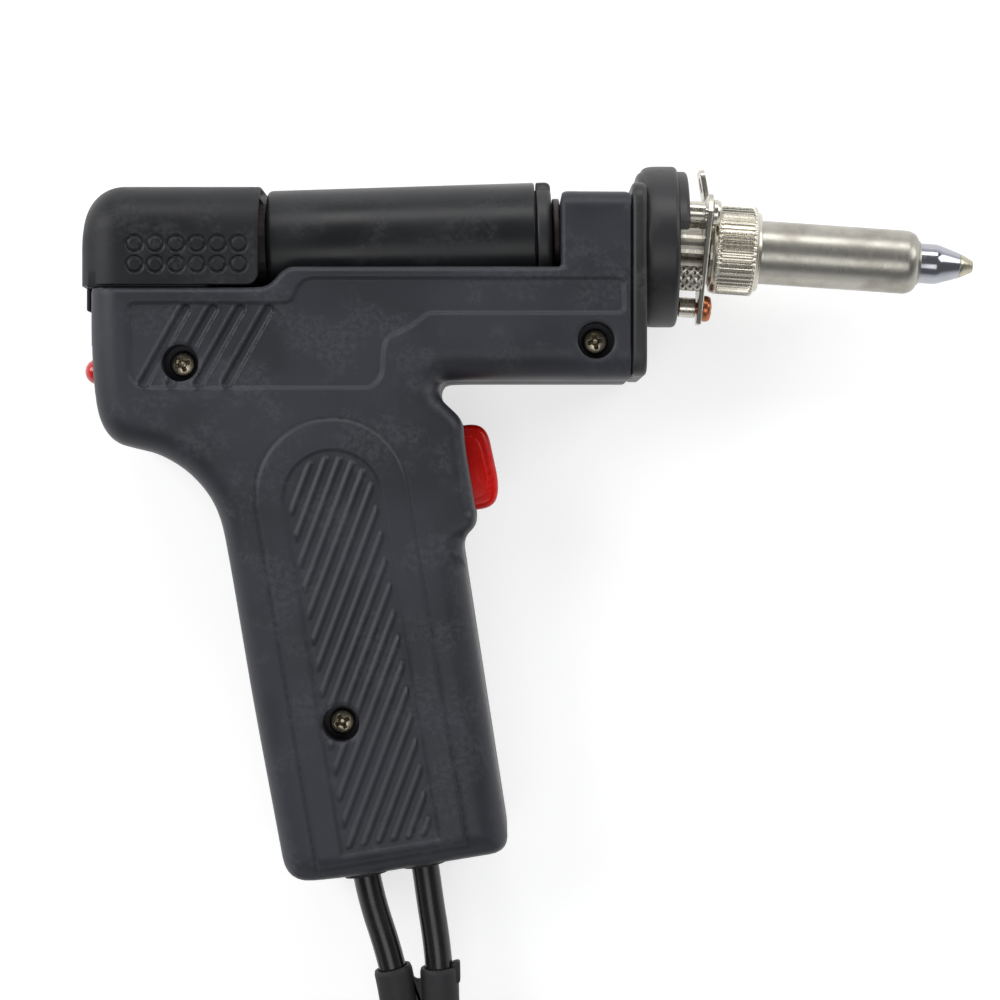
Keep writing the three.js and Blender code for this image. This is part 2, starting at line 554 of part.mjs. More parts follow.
function buildCollar() {
  const x0 = HOUSING_FRONT + GAP;
  const half = HOUSING_WIDTH / 2;
  const discRadius = COLLAR_DISC_DIAMETER / 2;
  const disc = turned([
    [x0 + 1.4, 0], [x0 + 1.4, discRadius - 2], [x0 + 3.4, discRadius], [COLLAR_FRONT - 1, discRadius],
    [COLLAR_FRONT, discRadius - 1], [COLLAR_FRONT, 0],
  ], 32).translate(0, HEATER_AXIS_Y, MID_Z);
  const arch = solid(sleeve(discRadius - 1, discRadius - 6, COLLAR_FRONT - 1, COLLAR_FRONT + COLLAR_ARCH_HEIGHT, 32))
    .trimByPlane([0, 1, 0], 2.6);
  let collar = solid(plateX(roundedRect(-half, half, BARREL_UNDER_Y, BLOCK_TOP_Y + 0.5, 4), x0, x0 + COLLAR_BASE, 0.9))
    .add(solid(disc))
    .add(arch.translate([0, HEATER_AXIS_Y, MID_Z]))
    .subtract(solid(heaterFrame(rod(4.6, -16, 2.5, 0, 0, 32))))
    .subtract(solid(heaterFrame(rod(2.9, -24, 2.5, ...SLEEVE_PLACE, 20))));
  for (const angle of SPACER_ANGLES) {
    const place = spacerPlace(angle);
    const pocket = rod(SPACER_DIAMETER / 2 + GAP, -COLLAR_ARCH_HEIGHT, 2.5, ...place, 20);
    collar = collar.subtract(solid(heaterFrame(rod(1.2 + GAP, -8.5, 2.5, ...place, 16))));
    if (angle > 0) collar = collar.subtract(solid(heaterFrame(pocket)).trimByPlane([1, 0, 0], COLLAR_FRONT));
  }
  add("front_collar", collar, BLACK);
}

// ---------------------------------------------------------------- heater

function buildHeater() {
  const heater = new THREE.Group();
  heater.position.set(HEATER_X, HEATER_AXIS_Y, MID_Z);
  heater.rotation.z = -HEATER_TILT * DEG;
  gun.add(heater);

  const lobe = SPACER_DIAMETER / 2 + 1.4;
  const outline = new THREE.Shape();
  for (const [i, angle] of SPACER_ANGLES.entries()) {
    const [y, z] = spacerPlace(angle);
    outline.absarc(z, y, lobe, (angle - 60) * DEG, (angle + 60) * DEG);
    if (i === SPACER_ANGLES.length) outline.closePath();
  }
  const socketRadius = 3.9;
  let flange = solid(plateAcross(outline, FLANGE_AT, FLANGE_AT + FLANGE_THICKNESS));
  const tabShape = roundedRect(-4, 4, SPACER_CIRCLE / 2 + lobe - 3, SPACER_CIRCLE / 2 + lobe + 6.4, 3.6);
  const tabFoot = SPACER_CIRCLE / 2 + lobe - 0.4;
  const tab = solid(plateAcross(tabShape, 0, FLANGE_THICKNESS)).trimByPlane([0, 1, 0], tabFoot - 0.3)
    .subtract(solid(rod(1.5, -1, 2, tabFoot + 3.6, 0, 20)))
    .translate([0, -tabFoot, 0]).rotate([0, 0, 14]).translate([FLANGE_AT, tabFoot, 0]);
  flange = flange.add(tab)
    .subtract(solid(rod(socketRadius + GAP, 0, 8, 0, 0, 32)))
    .subtract(solid(rod(2.9, 0, 8, ...SLEEVE_PLACE, 20)));
  const headAt = FLANGE_AT + FLANGE_THICKNESS + GAP;
  for (const [i, angle] of SPACER_ANGLES.entries()) {
    const place = spacerPlace(angle);
    const faceAt = -COLLAR_ARCH_HEIGHT * Math.cos(HEATER_TILT * DEG) - place[0] * Math.sin(HEATER_TILT * DEG);
    flange = flange.subtract(solid(rod(1.2 + GAP, 0, 8, ...place, 16)));
    const spacer = sleeve(SPACER_DIAMETER / 2, 1.2 + GAP, faceAt + 2 * GAP, FLANGE_AT - GAP, 28);
    add(`flange_spacer_${i + 1}`, spacer.translate(0, ...place), STEEL, heater);
    const head = solid(turned([[headAt, 0], [headAt, 2.6], [headAt + 0.8, 2.5], [headAt + 1.5, 1.5], [headAt + 1.7, 0]], 28));
    const slot = solid(box(headAt + 1, headAt + 2, -0.3, 0.3, -1.6, 1.6));
    const cross = solid(box(headAt + 1, headAt + 2, -1.6, 1.6, -0.3, 0.3));
    const screw = head.subtract(slot).subtract(cross).add(solid(rod(1.2, -8, headAt + 0.4, 0, 0, 16)));
    add(`flange_screw_${i + 1}`, geometryOf(screw).translate(0, ...place), i ? STEEL : BRASS, heater);
  }
  add("heater_flange", flange, STEEL, heater);
  add("lead_sleeve", sleeve(2.4, 1.6, -7, FLANGE_AT + 0.5, 24).translate(0, ...SLEEVE_PLACE), STEEL, heater);

  const tube = SUCTION_TUBE_DIAMETER / 2;
  const nutRear = FLANGE_AT + FLANGE_THICKNESS + 1;
  const nutFront = nutRear + NUT_LENGTH;
  const pipe = HEATER_PIPE_DIAMETER / 2;
  const pipeFlange = pipe + 0.9;
  const socketFlange = nutRear - 0.4;
  add("heater_socket", turned([
    [-4, tube + GAP], [-4, socketRadius], [socketFlange, socketRadius], [socketFlange, pipeFlange],
    [socketFlange + 1.2, pipeFlange], [socketFlange + 1.2, tube + GAP],
  ]), STEEL, heater);
  const pipeRear = socketFlange + 1.2 + GAP;
  const pipeFront = nutFront + HEATER_PIPE_LENGTH;
  const mouth = NOZZLE_DIAMETER / 2 + GAP;
  const inner = pipe - HEATER_PIPE_WALL;
  add("heater_pipe", turned([
    [pipeRear, inner], [pipeRear, pipeFlange], [pipeRear + 1, pipeFlange], [pipeRear + 1, pipe], [pipeFront - 3, pipe],
    [pipeFront - 1.2, pipe - 0.6], [pipeFront, pipe - 2.1], [pipeFront, mouth], [pipeFront - 1, mouth],
    [pipeFront - 1, inner - 0.8], [pipeFront - 3, inner],
  ], 36), STEEL, heater);

  const nutLip = pipeRear + 1 + GAP;
  const knurls = new THREE.Shape();
  for (let i = 0; i < 2 * NUT_KNURLS; i += 1) {
    const angle = (i / NUT_KNURLS) * Math.PI;
    const r = NUT_DIAMETER / 2 - (i % 2 ? 0.4 : 0);
    if (i) knurls.lineTo(r * Math.cos(angle), r * Math.sin(angle));
    else knurls.moveTo(r, 0);
  }
  knurls.closePath();
  const nut = solid(plateAcross(knurls, nutRear, nutFront))
    .intersect(solid(turned([
      [nutRear, 0], [nutRear, NUT_DIAMETER / 2 - 0.7], [nutRear + 0.7, NUT_DIAMETER / 2], [nutFront - 1.4, NUT_DIAMETER / 2],
      [nutFront, NUT_DIAMETER / 2 - 1.6], [nutFront, 0],
    ], 2 * NUT_KNURLS)))
    .subtract(solid(rod(pipeFlange + GAP, nutRear - 1, nutLip, 0, 0, 40)))
    .subtract(solid(rod(pipe + GAP, nutRear - 1, nutFront + 1, 0, 0, 40)));
  add("knurled_nut", nut, STEEL, heater);

  const nozzleRear = pipeFront - 4.4;
  add("heating_element", sleeve(inner - GAP - 0.6, tube + GAP, pipeRear + 1, nozzleRear - GAP, 32), CERAMIC, heater);
  add("suction_tube", sleeve(tube, SUCTION_BORE / 2, -(HEATER_X - BLOCK_X) + 2.4, nozzleRear - GAP - 0.2, 24), STEEL, heater);
  const nozzle = NOZZLE_DIAMETER / 2;
  const tip = NOZZLE_TIP_DIAMETER / 2;
  const coneAt = pipeFront + 4.1;
  add("nozzle", turned([
    [nozzleRear, SUCTION_BORE / 2], [nozzleRear, nozzle + 0.7], [pipeFront - 1 - GAP, nozzle + 0.7],
    [pipeFront - 1 - GAP, nozzle], [coneAt, nozzle], [coneAt + 4.2, tip + 0.95], [coneAt + 5.2, tip + 0.85],
    [coneAt + 6.8, tip], [coneAt + 6.8, NOZZLE_BORE / 2], [coneAt, NOZZLE_BORE / 2], [coneAt - 2, SUCTION_BORE / 2],
  ], 28), CHROME, heater);
}

// A plate across the heater's axis, from an outline of (z, y), between x0 and x1.
function plateAcross(shape, x0, x1) {
  const geometry = new THREE.ExtrudeGeometry(shape, { depth: x1 - x0, bevelEnabled: false, curveSegments: 8 });
  return geometry.rotateY(Math.PI / 2).translate(x0, 0, 0);
}

// ---------------------------------------------------------------- power lead and vacuum hose

// Route points of each lead in the open, chosen by hand: through the grip's foot and the clip to its coil.
const HOSE_ROUTE = [
  [-34.28, -57.5, 17], [-33.13, -64.4, 17], [-32.05, -70.8, 17], [-30.5, -77, 16.9], [-28.6, -83, 16.7], [-27, -89, 16.4],
  [-25.9, -95, 15.9], [-25.3, -101, 15], [-25.1, -107, 13.8], [-25.1, -113, 12.5], [-25.1, -118, 11.6], [-25.1, -123, 10.8],
];
const POWER_ROUTE = [
  [-22.65, -55.6, 17], [-21.49, -62.5, 17], [-20.42, -68.9, 17], [-19.5, -75.4, 16.9], [-18.5, -82, 16.7], [-17.8, -88.6, 16.4],
  [-17.6, -95, 15.9], [-17.5, -101, 15], [-17.5, -107, 13.8], [-17.5, -113, 12.5], [-17.5, -118, 11.6], [-17.5, -123, 10.8],
];
const COIL_OUTER_TURN = COIL_TURN_RADIUS + LEAD_DIAMETER;
const HOSE_COIL_X = -25.1 - COIL_OUTER_TURN;
const POWER_COIL_X = -17.5 + COIL_OUTER_TURN;
const COIL_BASE = TIE_THICKNESS + GAP;
// Points of a lead's tail: distance sideways from its coil's centre, and height.
const TAIL_START = 21.5;
const POWER_TAIL = [[TAIL_START, 6.4], [24, 7.3], [26, 7.8], [28, 8]];
const HOSE_TAIL = [[TAIL_START, 4.3], [23, 4.4], [24.5, 4.5], [26, 4.5]];
const TAIL_Y = COIL_CENTRE_Y - COIL_OUTER_TURN;

function vectors(points) {
  return points.map((p) => new THREE.Vector3(...p));
}

function buildLead(name, route, coilX, tail) {
  add(name, cable(vectors(route), LEAD_RADIUS, 5, 24), CORD);
  const inner = COIL_TURN_RADIUS - 1.5 * LEAD_DIAMETER;
  const outer = COIL_TURN_RADIUS + 1.5 * LEAD_DIAMETER;
  const low = COIL_BASE;
  const high = COIL_BASE + 2 * LEAD_DIAMETER;
  const c = 1.6;
  const section = [
    [inner + c, low], [outer - c, low], [outer, low + c], [outer, high - c], [outer - c, high], [inner + c, high],
    [inner, high - c], [inner, low + c], [inner + c, low],
  ];
  const ring = new THREE.LatheGeometry(section.map(([r, z]) => new THREE.Vector2(r, z)), 32).rotateX(Math.PI / 2);
  add(`${name}_coil`, ring.translate(coilX, COIL_CENTRE_Y, 0), CORD);
  const way = Math.sign(coilX - HOSE_COIL_X - 1);
  const tailPoints = tail.map(([x, z]) => [coilX + way * x, TAIL_Y, z]);
  add(`${name}_tail`, cable(vectors(tailPoints), LEAD_RADIUS, 5, 4), CORD);
  const tieX = coilX + way * COIL_TURN_RADIUS;
  const reach = 1.5 * LEAD_DIAMETER + GAP + TIE_WIDTH ** 2 / 8 / inner;
  const t = TIE_THICKNESS;
  const frame = roundedRect(tieX - reach - t, tieX + reach + t, 0, high + GAP + t, 1.8);
  frame.holes.push(roundedRect(tieX - reach, tieX + reach, t, high + GAP, 1.2));
  const tie = new THREE.ExtrudeGeometry(frame, { depth: TIE_WIDTH, bevelEnabled: false, curveSegments: 3 });
  add(`${name}_tie`, tie.rotateX(Math.PI / 2).translate(0, COIL_CENTRE_Y + TIE_WIDTH / 2, 0), RUBBER);
}

// The twin clip: a thin sleeve round each lead, and the web behind them.
function buildClip() {
  const bore = LEAD_RADIUS + GAP;
  const outer = bore + CLIP_WALL;
  const stretch = (route) => vectors(route.slice(CLIP_FROM, CLIP_TO + 1));
  const sleeveOn = (route) => solid(cable(stretch(route), outer, 6, 6)).subtract(solid(cable(vectors(route), bore, 5, 24)));
  const from = HOSE_ROUTE[CLIP_FROM];
  const to = POWER_ROUTE[CLIP_TO];
  const web = solid(box(from[0] + 1, to[0] - 0.6, to[1] + 1.5, from[1] + 4, to[2] + 0.6, to[2] + 1.8));
  const clip = sleeveOn(HOSE_ROUTE).add(sleeveOn(POWER_ROUTE)).add(web)
    .subtract(solid(cable(vectors(HOSE_ROUTE), bore, 5, 24)))
    .subtract(solid(cable(vectors(POWER_ROUTE), bore, 5, 24)));
  add("lead_clip", clip, BLACK);
}

function buildClamp() {
  const low = MID_Z + LEAD_RADIUS + GAP;
  const [u0, u1] = CLAMP_SCREWS_U;
  let bar = solid(gripBox(u0 - 3.4, u1 + 3.4, CLAMP_V - 3, CLAMP_V + 3, low, low + 2.4));
  for (const [i, u] of CLAMP_SCREWS_U.entries()) {
    const [x, y] = gripPoint(u, CLAMP_V);
    bar = bar.subtract(solid(post(1 + GAP, x, y, low - 1, low + 4, 16)));
    const head = solid(post(2, x, y, low + 2.4 + GAP, low + 4, 20)).subtract(solid(box(x - 1.2, x + 1.2, y - 0.25, y + 0.25, low + 3.4, low + 5)));
    add(`clamp_screw_${i + 1}`, head.add(solid(post(1, x, y, 8, low + 3, 16))), STEEL);
  }
  add("lead_clamp", bar, BLACK);
  for (const [name, u] of Object.entries(LEAD_U)) {
    const ring = solid(gripRod(GROMMET_RADIUS, GRIP_LENGTH - 7, GRIP_LENGTH - 0.6, u, MID_Z))
      .subtract(solid(gripRod(LEAD_RADIUS + GAP, GRIP_LENGTH - 9, GRIP_LENGTH + 1, u, MID_Z)));
    add(`${name}_grommet`, ring, RUBBER);
  }
}

function buildPlug() {
  const place = (geometry) => geometry.translate(POWER_COIL_X, TAIL_Y, PLUG_DIAMETER / 2);
  const bootFrom = POWER_TAIL.at(-1)[0] + GAP;
  const bootTo = bootFrom + 15.7;
  const boot = [[bootFrom, 0], [bootFrom, 3.6]];
  for (let i = 0; i < 4; i += 1) {
    const x = bootFrom + 1.4 + i * 3;
    const r = 4 + i * 0.4;
    boot.push([x, r], [x + 0.4, r - 0.8], [x + 1.4, r - 0.8], [x + 1.8, r + 0.2]);
  }
  boot.push([bootTo, 5.6], [bootTo, 0]);
  add("plug_boot", place(turned(boot, 24)), RUBBER);
  const shellFrom = bootTo + GAP;
  const shellTo = shellFrom + 19;
  const shellRadius = PLUG_DIAMETER / 2 - 1.6;
  const insertRadius = PLUG_DIAMETER / 2 - 2.7;
  add("plug_shell", place(turned([
    [shellFrom, 0], [shellFrom, shellRadius - 0.4], [shellFrom + 8, shellRadius], [shellTo - 9, shellRadius],
    [shellTo - 9, insertRadius - GAP], [shellTo - 3, insertRadius - GAP], [shellTo - 3, 0],
  ], 28)), STEEL);
  const ring = new THREE.Shape();
  const ridges = 16;
  for (let i = 0; i < 2 * ridges; i += 1) {
    const angle = (i / ridges) * Math.PI;
    const r = PLUG_DIAMETER / 2 - (i % 2 ? 0.4 : 0);
    if (i) ring.lineTo(r * Math.cos(angle), r * Math.sin(angle));
    else ring.moveTo(r, 0);
  }
  ring.closePath();
  ring.holes.push(new THREE.Path().absarc(0, 0, insertRadius, 0, 2 * Math.PI, true));
  add("plug_ring", place(plateAcross(ring, shellTo - 9 + GAP, shellTo)), STEEL);
  let insert = solid(rod(insertRadius - GAP, shellTo - 3 + GAP, shellTo - 0.4, 0, 0, 28));
  for (let i = 0; i < PLUG_CONTACTS; i += 1) {
    const angle = (i / PLUG_CONTACTS) * 2 * Math.PI;
    insert = insert.subtract(solid(rod(0.6, shellTo - 2, shellTo, 3.1 * Math.cos(angle), 3.1 * Math.sin(angle), 8)));
  }
  add("plug_insert", place(geometryOf(insert)), BLACK);

  const x0 = HOSE_TAIL.at(-1)[0] + GAP;
  const nose = FITTING_DIAMETER / 2;
  const fitting = solid(turned([
    [x0, 0], [x0, nose - 0.6], [x0 + 0.6, nose], [x0 + 7, nose], [x0 + 7.6, nose - 0.6], [x0 + 7.6, 2.9], [x0 + 9.6, 2.9],
    [x0 + 10.2, 3.3], [x0 + 15, 2.7], [x0 + 15.7, 2.2], [x0 + 15.7, 0],
  ], 28)).subtract(solid(rod(1.4, x0 + 2, x0 + 17, 0, 0, 16)));
  const turnedRound = geometryOf(fitting).rotateZ(Math.PI).translate(HOSE_COIL_X, TAIL_Y, nose);
  add("hose_fitting", turnedRound, STEEL);
}

function buildLeads() {
  buildClamp();
  buildLead("vacuum_hose", HOSE_ROUTE, HOSE_COIL_X, HOSE_TAIL);
  buildLead("power_lead", POWER_ROUTE, POWER_COIL_X, POWER_TAIL);
  buildClip();
  buildPlug();
}

// ---------------------------------------------------------------- the whole gun

buildHousing();
buildRearCover();
buildCanister();
buildTrigger();
buildCollar();
buildHeater();
buildLeads();

export default gun;
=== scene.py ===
"""A pistol-grip vacuum desoldering gun with its power lead and vacuum hose.

The gun lies on its left side on a table at z = 0: +X points to the nozzle, +Y to the top of
the gun, +Z away from the table. Shapes are worked out in millimetres and put into the meshes in metres.
"""

import math

import bmesh
import bpy
import numpy as np
from bpy.props import BoolProperty, FloatProperty, FloatVectorProperty, IntProperty, PointerProperty
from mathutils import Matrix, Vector
from mathutils.geometry import delaunay_2d_cdt


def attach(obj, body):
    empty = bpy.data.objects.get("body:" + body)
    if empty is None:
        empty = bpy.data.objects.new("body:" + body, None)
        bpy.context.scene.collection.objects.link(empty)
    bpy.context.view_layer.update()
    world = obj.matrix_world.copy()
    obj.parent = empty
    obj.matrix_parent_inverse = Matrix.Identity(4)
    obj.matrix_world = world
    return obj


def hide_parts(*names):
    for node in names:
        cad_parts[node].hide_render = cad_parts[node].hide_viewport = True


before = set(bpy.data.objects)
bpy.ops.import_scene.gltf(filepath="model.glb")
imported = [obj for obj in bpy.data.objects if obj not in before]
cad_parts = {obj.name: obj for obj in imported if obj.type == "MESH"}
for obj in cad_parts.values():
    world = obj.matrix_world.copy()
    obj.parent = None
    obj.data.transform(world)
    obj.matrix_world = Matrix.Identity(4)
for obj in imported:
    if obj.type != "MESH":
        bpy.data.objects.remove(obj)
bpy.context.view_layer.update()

bl_info = {
    "name": "Desoldering gun",
    "version": (1, 0, 0),
    "blender": (4, 5, 0),
    "location": "3D View > Sidebar > Gun",
    "description": "Builds a vacuum desoldering gun, its leads and a plain stage",
    "category": "Add Mesh",
}

MM = 0.001
MID_Z = 17.0  # split plane of the two housing halves
WIDTH = 34.0
AXIS_Y = 55.6  # heater axis where it leaves the collar
HEATER_X = 31.5
HEATER_TILT = -math.radians(3.9)
CANISTER_X = -25.0
CANISTER_Y = 56.1
CANISTER_TILT = math.radians(1.8)
GRIP_X = -36.0
GRIP_TILT = math.radians(9.5)
LEAD_RADIUS = 2.75
COIL_Y = -143.5
COIL_RADII = (38.5, 33.0, 27.5, 27.5, 33.0, 38.5)
COIL_HEIGHTS = (9.25, 9.25, 9.25, 3.75, 3.75, 3.75)
TURN_CHANGES = (0.82, 1.70, 2.58, 3.46, 4.34)
COIL_TURNS = 5.25
HOSE_COIL_X = -63.6
POWER_COIL_X = 21.0
TAIL_Y = -182.0

# The leads' way through the foot of the grip and the clip to their coils, in metres.
HOSE_ROUTE = np.array([
    (-0.03428, -0.0575, 0.017), (-0.03313, -0.0644, 0.017), (-0.03205, -0.0708, 0.017), (-0.0305, -0.077, 0.0169),
    (-0.0286, -0.083, 0.0167), (-0.027, -0.089, 0.0164), (-0.0259, -0.095, 0.0159), (-0.0253, -0.101, 0.015),
    (-0.0251, -0.107, 0.0138), (-0.0251, -0.113, 0.0125), (-0.0251, -0.118, 0.0116), (-0.0251, -0.123, 0.0108),
])
POWER_ROUTE = np.array([
    (-0.02265, -0.0556, 0.017), (-0.02149, -0.0625, 0.017), (-0.02042, -0.0689, 0.017), (-0.0195, -0.0754, 0.0169),
    (-0.0185, -0.082, 0.0167), (-0.0178, -0.0886, 0.0164), (-0.0176, -0.095, 0.0159), (-0.0175, -0.101, 0.015),
    (-0.0175, -0.107, 0.0138), (-0.0175, -0.113, 0.0125), (-0.0175, -0.118, 0.0116), (-0.0175, -0.123, 0.0108),
])
HOSE_TAIL = np.array([(21.5, 4.3), (23.0, 4.4), (24.5, 4.5), (26.2, 4.5)])
POWER_TAIL = np.array([(21.5, 6.4), (24.0, 7.3), (26.0, 7.8), (28.2, 8.0)])


# ---------------------------------------------------------------- sizes and colours a user may change

def length_value(name, millimetres, description):
    return FloatProperty(name=name, description=description, default=millimetres * MM, min=0.0, unit="LENGTH")


def colour_value(name, red, green, blue, description):
    """A colour given as it looks on a screen, 0 to 255, kept as the light it stands for."""
    steps = np.array([red, green, blue]) / 255
    light = np.where(steps <= 0.04045, steps / 12.92, ((steps + 0.055) / 1.055) ** 2.4)
    return FloatVectorProperty(name=name, description=description, default=tuple(light), size=3, min=0.0, max=1.0,
                               subtype="COLOR")


class GunSizes(bpy.types.PropertyGroup):
    """Sizes of the gun's surface details."""
    panel_depth: length_value("Panel depth", 0.65, "How deep the side panel lies in the housing")
    bar_depth: length_value("Bar depth", 0.6, "How deep the slanted bars are pressed into the side panel")
    band_height: length_value("Grip band height", 0.3, "How far the plain band stands out of the grip")
    rib_height: length_value("Rib height", 0.5, "How far the slanted ribs stand out of the grip panel")
    rib_pitch: length_value("Rib pitch", 2.54, "Distance from rib to rib, square to the ribs")
    knurl_depth: length_value("Knurl depth", 0.42, "Depth of the straight knurls on the nut")
    dot_groove: length_value("Dot groove", 0.3, "Depth of the groove round each dot on the rear cover")
    knurls: IntProperty(name="Knurls", description="Straight knurls round the nut", default=52, min=12, max=90)
    fine_grid: length_value("Housing grid", 0.33, "Distance between mesh points on the housing's right half")
    coarse_grid: length_value("Far side grid", 0.42, "Distance between mesh points on the housing's left half")
    show_scuffs: BoolProperty(name="Scuffs", description="Pale scuffs and handling marks on the plastic", default=True)


class GunColours(bpy.types.PropertyGroup):
    """Colours of the gun's finishes."""
    housing: colour_value("Housing", 42, 43, 49, "Blue-grey plastic of the two housing halves")
    cover: colour_value("Cover", 21, 22, 25, "Darker plastic of the rear cover")
    canister: colour_value("Canister", 24, 25, 27, "Satin black tube of the filter canister")
    collar: colour_value("Collar", 33, 33, 35, "Black moulding of the front collar")
    trigger: colour_value("Trigger", 202, 12, 2, "Glossy red plastic of the trigger")
    lamp: colour_value("Lamp", 190, 24, 20, "Red lens of the indicator lamp")
    nickel: colour_value("Nickel", 205, 200, 188, "Plated flange, spacers and nut")
    pipe: colour_value("Pipe", 178, 175, 166, "Brushed stainless heater pipe")
    chrome: colour_value("Chrome", 176, 177, 184, "Polished nozzle")
    copper: colour_value("Copper", 186, 112, 76, "Copper-plated screw")
    brass: colour_value("Screw", 176, 166, 146, "Yellowish plated housing screws")
    lead: colour_value("Lead", 20, 20, 21, "Black sheath of the power lead and the hose")
    silicone: colour_value("Silicone", 46, 35, 32, "Dark brown seals")
    ceramic: colour_value("Ceramic", 226, 221, 208, "White heating element and filter pad")
    board: colour_value("Board", 44, 104, 58, "Green circuit board of the lamp")
    floor: colour_value("Floor", 238, 238, 240, "Pale floor under the gun")


def sizes():
    return bpy.context.scene.gun_sizes


def colours():
    return bpy.context.scene.gun_colours


# ---------------------------------------------------------------- surfaces worked out as arrays

def rise(low, high, value):
    """0 below low, 1 above high, and a smooth S between: 3t squared minus 2t cubed."""
    t = np.clip((value - low) / (high - low), 0, 1)
    return t * t * (3 - 2 * t)


def grid_faces(rows, columns, wrap=False):
    """Four-sided faces between neighbouring rows and columns of a grid; wrap joins the last column to the first."""
    r, c = np.meshgrid(np.arange(rows - 1), np.arange(columns if wrap else columns - 1), indexing="ij")
    r, c = r.ravel(), c.ravel()
    d = (c + 1) % columns
    return np.stack([r * columns + c, r * columns + d, (r + 1) * columns + d, (r + 1) * columns + c], axis=1)


def capped(rows, columns):
    """Faces of a grid whose rows are closed rings, with its first and last ring closed flat."""
    around = np.arange(columns)
    return [grid_faces(rows, columns, wrap=True), around[None, ::-1], ((rows - 1) * columns + around)[None]]


def outwards(points, faces):
    """Turns all faces round when the volume they enclose, the sum of their corner pyramids, is negative."""
    volume = 0.0
    for f in faces:
        a = points[f[:, 0]]
        for k in range(1, f.shape[1] - 1):
            volume += np.einsum("ij,ij->", a, np.cross(points[f[:, k]], points[f[:, k + 1]]))
    return faces if volume >= 0 else [f[:, ::-1] for f in faces]


def rounded(points, cuts, steps=4, closed=False):
    """A polyline with each corner replaced by a parabola: from a cut before the corner to a cut after it."""
    p = np.asarray(points, float)
    cuts = np.broadcast_to(np.asarray(cuts, float), len(p))
    before, after = np.roll(p, 1, axis=0) - p, np.roll(p, -1, axis=0) - p
    reach_before, reach_after = np.hypot(*before.T), np.hypot(*after.T)
    share_a = np.minimum(cuts / reach_before, 0.5)[:, None, None]
    share_b = np.minimum(cuts / reach_after, 0.5)[:, None, None]
    t = np.linspace(0, 1, steps + 1)[None, :, None]
    start, end = p[:, None] + before[:, None] * share_a, p[:, None] + after[:, None] * share_b
    curve = (1 - t) ** 2 * start + 2 * t * (1 - t) * p[:, None] + t ** 2 * end
    if closed:
        line = curve.reshape(-1, 2)
    else:
        line = np.vstack([p[:1], curve[1:-1].reshape(-1, 2), p[-1:]])
    return line[np.r_[True, np.hypot(*np.diff(line, axis=0).T) > 1e-6]]


def tilted(points, angle, at=(0, 0, 0)):
    """Points turned about z and moved."""
    c, s = math.cos(angle), math.sin(angle)
    x, y, z = points.T
    return np.stack([x * c - y * s, x * s + y * c, z], axis=1) + np.asarray(at, float)


def lathe(profile, sides=64, at=(0, 0, 0), tilt=0.0, bump=None):
    """A profile of (x, radius) turned round the x axis, then tilted about z and moved to its place.
    The radius may wave round the axis: bump(x, angle) is added to it. Ends on the axis become single points."""
    profile = np.asarray(profile, float)
    angle = np.linspace(0, 2 * math.pi, sides, endpoint=False)
    x = np.repeat(profile[:, :1], sides, axis=1)
    r = np.repeat(profile[:, 1:], sides, axis=1)
    if bump is not None:
        r = np.where(r > 1e-6, r + bump(x, angle[None, :]), r)
    points = np.stack([x, r * np.cos(angle), r * np.sin(angle)], axis=2).reshape(-1, 3)
    faces = [grid_faces(len(profile), sides, wrap=True)]
    around = np.arange(sides)
    after = (around + 1) % sides
    last = (len(profile) - 1) * sides
    first_on_axis, last_on_axis = profile[[0, -1], 1] < 1e-6
    if first_on_axis:
        faces[0] = faces[0][sides:]
        faces.append(np.stack([np.zeros(sides, int), sides + after, sides + around], axis=1))
    if last_on_axis:
        faces[0] = faces[0][:-sides]
        faces.append(np.stack([np.full(sides, last), last - sides + around, last - sides + after], axis=1))
    if not (first_on_axis or last_on_axis):
        faces.append(np.stack([last + around, last + after, after, around], axis=1))
    return tilted(points, tilt, at), faces


def closed_ring(profile, sides, at=(0, 0, 0), bump=None, tilt=0.0):
    """A closed profile of (x, radius) turned round the x axis into a ring with no end faces."""
    profile = np.asarray(profile, float)
    if np.hypot(*(profile[0] - profile[-1])) < 1e-6:
        profile = profile[:-1]
    n = len(profile)
    points, _ = lathe(profile, sides, at, tilt, bump)
    faces = grid_faces(n + 1, sides, wrap=True) % (n * sides)
    return points, [faces]


def smooth_way(points, step):
    """A curve through all the points, each stretch a cubic whose end directions join the neighbouring points."""
    p = np.asarray(points, float)
    p = p[np.r_[True, np.linalg.norm(np.diff(p, axis=0), axis=1) > 1e-9]]
    gaps = np.linalg.norm(np.diff(p, axis=0), axis=1)
    at = np.r_[0, np.cumsum(gaps)]
    slope = np.gradient(p, at, axis=0)
    where = np.linspace(0, at[-1], max(int(at[-1] / step), 2) + 1)
    k = np.clip(np.searchsorted(at, where, side="right") - 1, 0, len(gaps) - 1)
    h = gaps[k][:, None]
    t = ((where - at[k]) / gaps[k])[:, None]
    return ((2 * t ** 3 - 3 * t ** 2 + 1) * p[k] + (t ** 3 - 2 * t ** 2 + t) * h * slope[k]
            + (3 * t ** 2 - 2 * t ** 3) * p[k + 1] + (t ** 3 - t ** 2) * h * slope[k + 1])


def unit(vectors):
    return vectors / np.linalg.norm(vectors, axis=1, keepdims=True)


def circles_along(way, sides):
    """Unit circles square to a way that never stands upright, and the way's direction at each of them."""
    forward = unit(np.gradient(way, axis=0))
    across = unit(np.cross((0.0, 0.0, 1.0), forward))
    upward = np.cross(forward, across)
    angle = np.linspace(0, 2 * math.pi, sides, endpoint=False)[:, None]
    return across[:, None] * np.cos(angle) + upward[:, None] * np.sin(angle), forward


